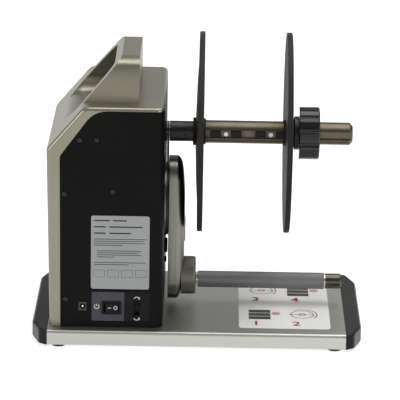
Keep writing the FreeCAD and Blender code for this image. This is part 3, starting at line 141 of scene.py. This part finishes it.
# What a cell holds, from the cell's own corner
NUMBER_AT, NUMBER_HIGH = (8.0 * MM, -14.0 * MM), 13.0 * MM
BLOCK_BARS, BLOCK_PITCH, BLOCK_LONG, BLOCK_WIDE = 3, 11.0 * MM, 24.0 * MM, 9.5 * MM
DOT_AT, DOT_R, DOT_HOLE = (30.0 * MM, 20.0 * MM), 5.0 * MM, 0.5 * MM
DIAL_AT, DIAL_RIM, DIAL_HUB = (15.0 * MM, 18.0 * MM), (13.0 * MM, 12.0 * MM), (4.0 * MM, 3.0 * MM)
DIAL_REACH, DIAL_LINE = 15.0 * MM, 0.8 * MM
TURN_R, TURN_WIDE, TURN_ARC = 16.5 * MM, 1.2 * MM, (120.0, -150.0)


# Objects


def add_object(name, data):
    obj = bpy.data.objects.new(name, data)
    bpy.context.scene.collection.objects.link(obj)
    return obj


def mesh_object(name, mesh):
    """A new object with a bmesh's faces. The bmesh is used up."""
    data = bpy.data.meshes.new(name)
    mesh.to_mesh(data)
    mesh.free()
    return add_object(name, data)


# Materials

MATERIALS = {}


def new_material(name, colour, roughness, metallic=0.0, gloss=0.5):
    """Adds a material with these constant values to MATERIALS. Returns its tree and shader."""
    material = bpy.data.materials.new(name)
    material.use_nodes = True
    tree = material.node_tree
    shader = tree.nodes["Principled BSDF"]
    shader.inputs["Base Color"].default_value = (*colour, 1.0)
    shader.inputs["Roughness"].default_value = roughness
    shader.inputs["Metallic"].default_value = metallic
    shader.inputs["Specular IOR Level"].default_value = gloss
    MATERIALS[name] = material
    return tree, shader


def paint(obj, finish):
    obj.data.materials.clear()
    obj.data.materials.append(MATERIALS[finish])


def noise(tree, waves, detail=2.0, seed=0.0):
    """Noise with this many waves per metre along X, Y and Z. The seed moves the pattern."""
    place = tree.nodes.new("ShaderNodeTexCoord")
    scale = tree.nodes.new("ShaderNodeMapping")
    scale.inputs["Scale"].default_value = waves
    scale.inputs["Location"].default_value = [seed * step for step in SEED_STEPS]
    tree.links.new(place.outputs["Object"], scale.inputs["Vector"])
    node = tree.nodes.new("ShaderNodeTexNoise")
    node.inputs["Scale"].default_value = 1.0
    node.inputs["Detail"].default_value = detail
    tree.links.new(scale.outputs["Vector"], node.inputs["Vector"])
    return node.outputs["Fac"]


def mapped(tree, value, low, high, values=NOISE_RANGE):
    """Stretches a value from its own range to one from low to high."""
    node = tree.nodes.new("ShaderNodeMapRange")
    node.inputs["From Min"].default_value, node.inputs["From Max"].default_value = values
    node.inputs["To Min"].default_value = low
    node.inputs["To Max"].default_value = high
    tree.links.new(value, node.inputs["Value"])
    return node.outputs["Result"]


def tinted(tree, value, colour, spread):
    """The colour made darker or lighter by a noise value, by this share at most."""
    ramp = tree.nodes.new("ShaderNodeValToRGB")
    for element, position, share in zip(ramp.color_ramp.elements, TINT_RANGE, (1 - spread, 1 + spread)):
        element.position = position
        element.color = (*(min(1.0, c * share) for c in colour), 1.0)
    tree.links.new(value, ramp.inputs["Fac"])
    return ramp.outputs["Color"]


def textured(tree, shader, tint, fine, uneven, strength, depth):
    """Gives a shader its tint, and an uneven roughness and bumps from one fine pattern."""
    below, above = uneven
    roughness = shader.inputs["Roughness"]
    low, high = roughness.default_value - below, roughness.default_value + above
    tree.links.new(tint, shader.inputs["Base Color"])
    tree.links.new(mapped(tree, fine, low, high), roughness)
    bump = tree.nodes.new("ShaderNodeBump")
    bump.inputs["Strength"].default_value = strength
    bump.inputs["Distance"].default_value = depth
    tree.links.new(fine, bump.inputs["Height"])
    tree.links.new(bump.outputs["Normal"], shader.inputs["Normal"])


def axis_waves(axis, along, across):
    """Waves per metre along X, Y and Z: one value along this axis and another across it."""
    return tuple(along if letter == axis else across for letter in "XYZ")


def brushed(name, colour, roughness, axis="X", lines=1600.0, metallic=1.0, spread=0.10, groove=0.02,
            uneven=0.07):
    """Metal with drawn or brushed lines along one axis, in waves per metre, their depth in millimetres."""
    tree, shader = new_material(name, colour, roughness, metallic)
    fine = noise(tree, axis_waves(axis, BRUSHED_LINES_ALONG, lines))
    streaks = noise(tree, axis_waves(axis, *BRUSHED_STREAKS), seed=BRUSHED_SEED)
    tint = tinted(tree, streaks, colour, spread)
    textured(tree, shader, tint, fine, (uneven, uneven), BRUSHED_BUMP, groove * MM)


def turned_metal(name, colour, roughness, rings=1100.0, metallic=1.0, spread=0.08):
    """Metal turned about the X axis: fine rings along its length, in waves per metre."""
    tree, shader = new_material(name, colour, roughness, metallic)
    fine = noise(tree, axis_waves("X", rings, TURNED_RINGS_ACROSS))
    stains = noise(tree, axis_waves("X", *TURNED_STAINS), seed=TURNED_SEED)
    tint = tinted(tree, stains, colour, spread)
    textured(tree, shader, tint, fine, TURNED_UNEVEN, FINE_BUMP, FINE_DEPTH)


def spindle_rings(tree, waves):
    """Noise by the distance from the spindle's axis, with this many waves per metre."""
    low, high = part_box("mandrel")
    place = tree.nodes.new("ShaderNodeTexCoord")
    centred = tree.nodes.new("ShaderNodeVectorMath")
    centred.operation = "MULTIPLY_ADD"
    centred.inputs[1].default_value = (0.0, 1.0, 1.0)
    centred.inputs[2].default_value = (0.0, 0.0, -(low.z + high.z) / 2)
    tree.links.new(place.outputs["Object"], centred.inputs[0])
    length = tree.nodes.new("ShaderNodeVectorMath")
    length.operation = "LENGTH"
    tree.links.new(centred.outputs["Vector"], length.inputs[0])
    rings = tree.nodes.new("ShaderNodeTexNoise")
    rings.noise_dimensions = "1D"
    rings.inputs["Scale"].default_value = waves
    tree.links.new(length.outputs["Value"], rings.inputs["W"])
    return rings.outputs["Fac"]


def flange_finish(name, colour, roughness, spread, gloss):
    """Dull discs with faint rings turned about the spindle."""
    tree, shader = new_material(name, colour, roughness, gloss=gloss)
    cloud = noise(tree, (FLANGE_CLOUD,) * 3, detail=3.0, seed=FLANGE_SEED)
    tint = tinted(tree, cloud, colour, spread)
    fine = spindle_rings(tree, FLANGE_RINGS)
    textured(tree, shader, tint, fine, FLANGE_UNEVEN, FINE_BUMP, FINE_DEPTH)


def moulded(name, colour, roughness, grain=1500.0, depth=0.03, spread=0.08, metallic=0.0, speckle=0.0,
            gloss=0.25):
    """Moulded or painted surface: an even grain in waves per metre, its depth in millimetres, and faint
    clouding. Speckle is the grain's share in the clouding."""
    tree, shader = new_material(name, colour, roughness, metallic, gloss)
    fine = noise(tree, (grain,) * 3, detail=3.0)
    cloud = noise(tree, (MOULDED_CLOUD,) * 3, detail=3.0, seed=MOULDED_SEED)
    if speckle:
        both = tree.nodes.new("ShaderNodeMix")
        both.inputs["Factor"].default_value = speckle
        tree.links.new(cloud, both.inputs["A"])
        tree.links.new(fine, both.inputs["B"])
        cloud = both.outputs["Result"]
    tint = tinted(tree, cloud, colour, spread)
    textured(tree, shader, tint, fine, MOULDED_UNEVEN, MOULDED_BUMP, depth * MM)


def switch_film(name, grey, black, roughness, spread, gloss):
    """Grey printed film with its right part black, split at one X."""
    tree, shader = new_material(name, grey, roughness, gloss=gloss)
    place = tree.nodes.new("ShaderNodeTexCoord")
    axes = tree.nodes.new("ShaderNodeSeparateXYZ")
    tree.links.new(place.outputs["Object"], axes.inputs["Vector"])
    right = tree.nodes.new("ShaderNodeMath")
    right.operation = "GREATER_THAN"
    right.inputs[1].default_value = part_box("switch_plate")[1].x - BLACK_PART_WIDE
    tree.links.new(axes.outputs["X"], right.inputs[0])
    mix = tree.nodes.new("ShaderNodeMix")
    mix.data_type = "RGBA"
    tree.links.new(right.outputs["Value"], mix.inputs["Factor"])
    cloud = noise(tree, (SWITCH_CLOUD,) * 3)
    tree.links.new(tinted(tree, cloud, grey, spread), mix.inputs["A"])
    mix.inputs["B"].default_value = (*black, 1.0)
    fine = noise(tree, (SWITCH_GRAIN,) * 3)
    textured(tree, shader, mix.outputs["Result"], fine, SWITCH_UNEVEN, FINE_BUMP, FINE_DEPTH)


def make_metals():
    brushed("base_aluminium", (0.50, 0.502, 0.465), 0.42, lines=1200.0, spread=0.012, groove=0.002,
            uneven=0.02)
    brushed("spring_dark", (0.085, 0.075, 0.055), 0.30, lines=900.0)
    brushed("black_steel", (0.028, 0.028, 0.028), 0.40, "Z", lines=900.0, metallic=0.3)
    brushed("arm_silver", (0.225, 0.219, 0.190), 0.34, "Z", lines=1200.0, spread=0.03, groove=0.008)
    brushed("zinc", (0.48, 0.49, 0.51), 0.36, "Z", lines=800.0)
    turned_metal("black_anodised", (0.027, 0.027, 0.021), 0.36, rings=700.0, metallic=0.35)
    turned_metal("mandrel", (0.125, 0.108, 0.076), 0.34, rings=1500.0, spread=0.04)
    turned_metal("hub_bronze", (0.215, 0.200, 0.168), 0.46, rings=900.0, metallic=0.6, spread=0.03)
    turned_metal("collar_bronze", (0.11, 0.102, 0.078), 0.20, spread=0.05)
    turned_metal("chrome", (0.70, 0.70, 0.70), 0.12)
    turned_metal("roller_grey", (0.215, 0.218, 0.216), 0.50, rings=800.0, metallic=0.4, spread=0.02)
    turned_metal("steel", (0.50, 0.50, 0.49), 0.28)
    turned_metal("screw_dark", (0.035, 0.035, 0.034), 0.25)
    turned_metal("brass", (0.62, 0.47, 0.20), 0.28)
    turned_metal("pin_bright", (0.75, 0.72, 0.64), 0.20)


def make_paints_and_plastics():
    moulded("cap_plastic", (0.024, 0.024, 0.023), 0.22, grain=700.0, depth=0.006, spread=0.12,
            gloss=0.10)
    moulded("shell_plastic", (0.278, 0.262, 0.203), 0.34, grain=1500.0, depth=0.006, spread=0.03,
            metallic=0.85, speckle=0.3, gloss=0.15)
    moulded("cover_black", (0.0085, 0.0085, 0.0080), 0.45, grain=1300.0, depth=0.05, spread=0.22,
            speckle=0.5, gloss=0.06)
    flange_finish("flange_black", (0.040, 0.038, 0.035), 0.52, spread=0.12, gloss=0.04)
    moulded("black_plastic", (0.010, 0.010, 0.010), 0.32, grain=1200.0, spread=0.15, gloss=0.12)
    moulded("knob_gloss", (0.009, 0.009, 0.009), 0.10, grain=900.0, depth=0.004, spread=0.15,
            gloss=0.42)
    moulded("black_rubber", (0.020, 0.020, 0.018), 0.55, grain=900.0, depth=0.05, spread=0.15,
            gloss=0.3)
    moulded("acetal", (0.72, 0.72, 0.68), 0.42, grain=1100.0, depth=0.02, spread=0.03)
    moulded("board_green", (0.03, 0.16, 0.07), 0.35, grain=500.0, depth=0.02, spread=0.15)
    moulded("wire_red", (0.35, 0.02, 0.02), 0.45, depth=0.02, spread=0.10)
    moulded("bezel_grey", (0.040, 0.039, 0.034), 0.35, grain=1200.0, depth=0.02, spread=0.12,
            gloss=0.4)


def ink(name, colour, spread):
    moulded(name, colour, 0.50, depth=0.01, spread=spread)


def make_films_and_inks():
    switch_film("switch_film", (0.095, 0.093, 0.115), (0.009, 0.009, 0.009), 0.42, spread=0.07,
                gloss=0.12)
    moulded("sheet_film", (0.93, 0.92, 0.89), 0.40, grain=500.0, depth=0.005, spread=0.01)
    moulded("label_foil", (0.40, 0.415, 0.415), 0.42, grain=1600.0, depth=0.01, spread=0.03,
            metallic=0.25)
    ink("print_white", (0.72, 0.72, 0.70), spread=0.05)
    ink("print_grey", (0.045, 0.044, 0.042), spread=0.10)
    ink("print_pink", (0.62, 0.33, 0.30), spread=0.05)
    ink("print_red", (0.30, 0.018, 0.012), spread=0.08)


FINISH = {
    "base_aluminium": ("base_extrusion",),
    "cap_plastic": ("left_end_cap", "right_end_cap"),
    "shell_plastic": ("outer_shell",),
    "cover_black": ("side_cover",),
    "flange_black": ("inner_flange", "outer_flange"),
    "black_anodised": ("spindle_collar", "flange_collet", "spindle_bearing_block",
                       "arm_bearing_block"),
    "knob_gloss": ("clamp_knob",),
    "spring_dark": ("grip_springs",),
    "bezel_grey": ("power_jack",),
    "black_plastic": ("rocker_bezel", "rocker_button", "direction_switch_body",
                      "direction_slider", "board_parts", "angle_sensor_body"),
    "black_rubber": ("rubber_feet", "arm_buffer", "grip_pads"),
    "black_steel": ("pivot_plate",),
    "mandrel": ("mandrel",),
    "arm_silver": ("arm_plate", "arm_cover", "pivot_spacer"),
    "hub_bronze": ("roller_hub",),
    "collar_bronze": ("roller_end_collar",),
    "chrome": ("roller_spacers",),
    "roller_grey": ("roller_tube",),
    "steel": ("spindle_shaft", "spindle_bearings", "grip_screws", "roller_axle", "arm_shaft"),
    "zinc": ("tie_rods", "chassis_plate", "motor_plate", "plate_standoffs", "gearbox", "motor_can",
             "arm_stop_pins"),
    "screw_dark": ("end_cap_screws", "cover_screws", "chassis_screws", "face_screws",
                   "collar_set_screw"),
    "brass": ("motor_pinion",),
    "pin_bright": ("jack_pin",),
    "acetal": ("spindle_gear", "sector_gear", "sensor_pinion", "roller_bushes"),
    "board_green": ("circuit_board",),
    "wire_red": ("wiring",),
    "sheet_film": ("instruction_sheet",),
    "label_foil": ("rating_label",),
    "switch_film": ("switch_plate",),
}


def dress_nodes():
    for finish, nodes in FINISH.items():
        for node in nodes:
            paint(NODES[node], finish)


# Printed marks: thin raised films built from flat outlines


def ring(centre, outer, inner, start=0.0, turn=360.0):
    """A flat ring, or part of one, as quads. Angles in degrees from the first axis."""
    cx, cy = centre
    count = max(FEWEST_PIECES, round(RING_PIECES * abs(turn) / 360.0))
    quads = []
    for i in range(count):
        a = math.radians(start + turn * i / count)
        b = math.radians(start + turn * (i + 1) / count)
        quads.append([(cx + r * math.cos(t), cy + r * math.sin(t))
                      for r, t in ((inner, a), (outer, a), (outer, b), (inner, b))])
    return quads


def bar(x0, y0, x1, y1):
    """A filled rectangle."""
    return [[(x0, y0), (x1, y0), (x1, y1), (x0, y1)]]


def frame_lines(x0, y0, x1, y1, w):
    """The outline of a rectangle as four mitred bars of width w."""
    outer = [(x0, y0), (x1, y0), (x1, y1), (x0, y1)]
    inner = [(x0 + w, y0 + w), (x1 - w, y0 + w), (x1 - w, y1 - w), (x0 + w, y1 - w)]
    return [[outer[i - 1], outer[i], inner[i], inner[i - 1]] for i in range(4)]


def curl_arrow(centre, radius, width, start, turn):
    """Part of a ring with an arrow head at its end."""
    sign = 1 if turn > 0 else -1
    end = math.radians(start + turn)
    tip = end + sign * ARROW_HEAD_LONG * width / radius
    half = ARROW_HEAD_HALF * width
    cx, cy = centre
    head = [(cx + r * math.cos(t), cy + r * math.sin(t))
            for r, t in ((radius + half, end), (radius, tip), (radius - half, end))]
    return ring(centre, radius + width / 2, radius - width / 2, start, turn) + [head]


class Surface:
    """A flat place for prints: an origin, two directions in it, and its outward normal."""

    def __init__(self, origin, along, up, normal):
        self.origin, self.along = Vector(origin), Vector(along)
        self.up, self.normal = Vector(up), Vector(normal)

    def point(self, u, v, lift):
        return self.origin + self.along * u + self.up * v + self.normal * lift


def near_face(node):
    """The print surface on a node's near side, with its origin at X = Z = 0."""
    low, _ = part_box(node)
    return Surface((0, low.y, 0), (1, 0, 0), (0, 0, 1), (0, -1, 0))


def edges(outline):
    """An outline's edges as pairs of corner numbers, with a key that is the same in both directions."""
    corners = [tuple(round(c, SAME_PLACE_DIGITS) for c in corner) for corner in outline]
    pairs = [(i, (i + 1) % len(outline)) for i in range(len(outline))]
    return [(i, j, frozenset((corners[i], corners[j]))) for i, j in pairs]


def print_marks(name, surface, outlines, finish, body):
    """Raised film of flat outlines, riding on a body. An edge that two of them share gets no wall."""
    uses = Counter(key for outline in outlines for _, _, key in edges(outline))
    mesh = bmesh.new()
    for outline in outlines:
        low = [mesh.verts.new(surface.point(u, v, 0.0)) for u, v in outline]
        high = [mesh.verts.new(surface.point(u, v, FILM)) for u, v in outline]
        mesh.faces.new(high)
        mesh.faces.new(low[::-1])
        for i, j, key in edges(outline):
            if uses[key] == 1:
                mesh.faces.new((low[i], low[j], high[j], high[i]))
    bmesh.ops.remove_doubles(mesh, verts=mesh.verts, dist=SAME_PLACE)
    bmesh.ops.recalc_face_normals(mesh, faces=mesh.faces)
    obj = mesh_object(name, mesh)
    paint(obj, finish)
    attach(obj, body)


def print_number(name, number, surface, at, height, finish, body):
    """A plain number in the default typeface, as a thin film."""
    curve = bpy.data.curves.new(name, "FONT")
    curve.body = number
    curve.size = height * TYPE_SIZE
    curve.extrude = FILM / 2
    curve.offset = height * TYPE_BOLDER
    curve.align_x, curve.align_y = "CENTER", "CENTER"
    obj = add_object(name, curve)
    basis = Matrix((surface.along, surface.up, surface.normal)).transposed().to_4x4()
    obj.matrix_world = Matrix.Translation(surface.point(*at, FILM)) @ basis
    paint(obj, finish)
    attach(obj, body)


def make_switch_marks():
    """The power mark on the grey part, and a curved arrow above and below the direction switch."""
    plate = near_face("switch_plate")
    low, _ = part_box("switch_plate")
    x, z, r = low.x + POWER_MARK_RIGHT, low.z + POWER_MARK_UP, POWER_MARK_R
    stem = bar(x - STEM_HALF * r, z + STEM_FOOT * r, x + STEM_HALF * r, z + STEM_TOP * r)
    power = ring((x, z), r, POWER_HOLE * r, *POWER_ARC) + stem
    print_marks("power_mark", plate, power, "print_white", "housing")
    slider_low, slider_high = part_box("direction_slider")
    middle = (slider_low.x + slider_high.x) / 2
    above = curl_arrow((middle, low.z + ARROW_ABOVE_UP), ARROW_R, ARROW_WIDE, *ARROW_ABOVE_ARC)
    below = curl_arrow((middle, low.z + ARROW_BELOW_UP), ARROW_R, ARROW_WIDE, *ARROW_BELOW_ARC)
    print_marks("direction_marks", plate, above + below, "print_white", "housing")


def surface_ahead(obj, start, direction):
    """Where a ray from start first meets an object's mesh, and the normal there."""
    found, point, normal, _ = obj.ray_cast(start, direction)
    if not found:
        raise ValueError("no surface under the mark on " + obj.name)
    return point, normal


def make_rocker_marks():
    """Off ring and on bar, on the two tilted halves of the rocker."""
    low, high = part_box("rocker_button")
    bezel_low, bezel_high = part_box("rocker_bezel")
    middle = (bezel_low.x + bezel_high.x) / 2
    half_long, half_wide = ON_MARK_LONG / 2, ON_MARK_WIDE / 2
    for name, x, outlines in (
        ("rocker_off_mark", OFF_MARK_X, ring((0, 0), OFF_MARK_R, OFF_MARK_HOLE)),
        ("rocker_on_mark", ON_MARK_X, bar(-half_long, -half_wide, half_long, half_wide)),
    ):
        start = Vector((middle + x, low.y - RAY_START, (low.z + high.z) / 2))
        point, normal = surface_ahead(NODES["rocker_button"], start, Vector((0, 1, 0)))
        along = Vector((0, 0, 1)).cross(normal).normalized()
        flat = Surface(point, along, (0, 0, 1), normal)
        print_marks(name, flat, outlines, "print_white", "power_rocker")


def make_label_rules():
    """Rows of plain bars and a row of empty frames on the rating label."""
    low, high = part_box("rating_label")
    x0, x1 = low.x + LABEL_MARGIN, high.x - LABEL_MARGIN
    z, width = high.z - LABEL_MARGIN, x1 - x0
    lines = []
    for height, gap, shares in LABEL_ROWS:
        z -= gap
        for start, end in shares:
            lines += bar(x0 + width * start, z - height, x0 + width * end, z)
        z -= height
    z -= BREAK
    side = (width - (LABEL_FRAMES - 1) * LABEL_MARGIN) / LABEL_FRAMES
    for i in range(LABEL_FRAMES):
        x = x0 + i * (side + LABEL_MARGIN)
        lines += frame_lines(x, z - FRAME_HIGH_SHARE * side, x + side, z, FRAME_LINE)
    print_marks("label_rules", near_face("rating_label"), lines, "print_grey", "housing")


def block_bars(x, y):
    """The dark bars of a cell's block."""
    bars = []
    for step in range(BLOCK_BARS):
        up = y + step * BLOCK_PITCH
        bars += bar(x, up, x + BLOCK_LONG, up + BLOCK_WIDE)
    return bars


def dial_lines(centre):
    """A dial's rim and hub, and the line across it, which stops at each ring."""
    cx, cy = centre
    lines = ring(centre, *DIAL_RIM) + ring(centre, *DIAL_HUB)
    stops = sorted(side * r for side in (-1, 1) for r in (DIAL_REACH, *DIAL_RIM, *DIAL_HUB))
    for start, end in zip(stops[::2], stops[1::2]):
        lines += bar(cx + start, cy - DIAL_LINE / 2, cx + end, cy + DIAL_LINE / 2)
    return lines


def make_sheet_print():
    """Numbered cells with a generic drawing: a block with a dot, or a dial with a curved arrow."""
    low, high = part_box("instruction_sheet")
    top = Surface((low.x, low.y, high.z), (1, 0, 0), (0, 1, 0), (0, 0, 1))
    dark, red, pink = [], [], []
    for cell in range(CELL_COUNT):
        row, column = divmod(cell, CELL_COLUMNS)
        x = CELL_AT[0] + CELL_PITCH[0] * column
        y = CELL_AT[1] + CELL_PITCH[1] * row
        number, at = str(cell + 1), (x + NUMBER_AT[0], y + NUMBER_AT[1])
        print_number("sheet_number_" + number, number, top, at, NUMBER_HIGH, "print_red", "housing")
        if (row + column) % 2 == 0:
            dark += block_bars(x, y)
            pink += ring((x + DOT_AT[0], y + DOT_AT[1]), DOT_R, DOT_HOLE)
        else:
            centre = (x + DIAL_AT[0], y + DIAL_AT[1])
            dark += dial_lines(centre)
            red += curl_arrow(centre, TURN_R, TURN_WIDE, *TURN_ARC)
    print_marks("sheet_diagram_dark", top, dark, "print_grey", "housing")
    print_marks("sheet_diagram_red", top, red, "print_red", "housing")
    print_marks("sheet_diagram_pink", top, pink, "print_pink", "housing")


# Stage


def make_camera():
    yaw, pitch, roll = (math.radians(a) for a in (CAMERA_YAW, CAMERA_PITCH, CAMERA_ROLL))
    ahead = Vector((math.sin(yaw) * math.cos(pitch), math.cos(yaw) * math.cos(pitch), -math.sin(pitch)))
    level = Vector((math.cos(yaw), -math.sin(yaw), 0))
    upright = level.cross(ahead)
    right = level * math.cos(roll) - upright * math.sin(roll)
    up = level * math.sin(roll) + upright * math.cos(roll)
    data = bpy.data.cameras.new("camera")
    data.sensor_width = SENSOR_MM
    data.lens = SENSOR_MM * FOCAL_PX / PHOTO_WIDTH_PX
    camera = add_object("camera", data)
    turn = Matrix((right, up, -ahead)).transposed().to_4x4()
    camera.matrix_world = Matrix.Translation(CAMERA_AT) @ turn
    bpy.context.scene.camera = camera


def make_lamps():
    for name, at, width, power in SOFT_BOXES:
        data = bpy.data.lights.new(name, "AREA")
        data.shape, data.size, data.energy = "SQUARE", width, power
        lamp = add_object(name, data)
        aimed = (AIM - at).to_track_quat("-Z", "Y").to_matrix().to_4x4()
        lamp.matrix_world = Matrix.Translation(at) @ aimed


def seen_directly(tree):
    """1 for rays from the camera or through gloss and glass, else 0."""
    path = tree.nodes.new("ShaderNodeLightPath")
    total = path.outputs["Is Camera Ray"]
    for kind in ("Is Glossy Ray", "Is Transmission Ray"):
        larger = tree.nodes.new("ShaderNodeMath")
        larger.operation = "MAXIMUM"
        tree.links.new(total, larger.inputs[0])
        tree.links.new(path.outputs[kind], larger.inputs[1])
        total = larger.outputs["Value"]
    return total


def make_world():
    world = bpy.data.worlds.new("room")
    bpy.context.scene.world = world
    world.use_nodes = True
    tree = world.node_tree
    back = tree.nodes["Background"]
    back.inputs["Color"].default_value = WHITE
    place = tree.nodes.new("ShaderNodeTexCoord")
    axes = tree.nodes.new("ShaderNodeSeparateXYZ")
    tree.links.new(place.outputs["Generated"], axes.inputs["Vector"])
    shade = mapped(tree, axes.outputs["Z"], 1.0, ROOM_GREY, (ROOM_WHITE_UP_TO, ROOM_GREY_FROM))
    blend = tree.nodes.new("ShaderNodeMix")
    blend.inputs["A"].default_value = ROOM_LIGHT
    tree.links.new(seen_directly(tree), blend.inputs["Factor"])
    tree.links.new(shade, blend.inputs["B"])
    tree.links.new(blend.outputs["Result"], back.inputs["Strength"])


def make_floor():
    """A dull floor that glows only for what sees it directly, so it looks white and keeps the shadow."""
    mesh = bmesh.new()
    bmesh.ops.create_grid(mesh, x_segments=1, y_segments=1, size=FLOOR_HALF)
    floor = mesh_object("floor", mesh)
    tree, shader = new_material("floor_white", (FLOOR_COLOUR,) * 3, FLOOR_ROUGHNESS, gloss=0.0)
    shader.inputs["Emission Color"].default_value = WHITE
    glow = mapped(tree, seen_directly(tree), 0.0, FLOOR_GLOW, (0.0, 1.0))
    tree.links.new(glow, shader.inputs["Emission Strength"])
    paint(floor, "floor_white")


bpy.context.scene.view_settings.view_transform = "Standard"
make_metals()
make_paints_and_plastics()
make_films_and_inks()
dress_nodes()
make_switch_marks()
make_rocker_marks()
make_label_rules()
make_sheet_print()
make_camera()
make_lamps()
make_world()
make_floor()
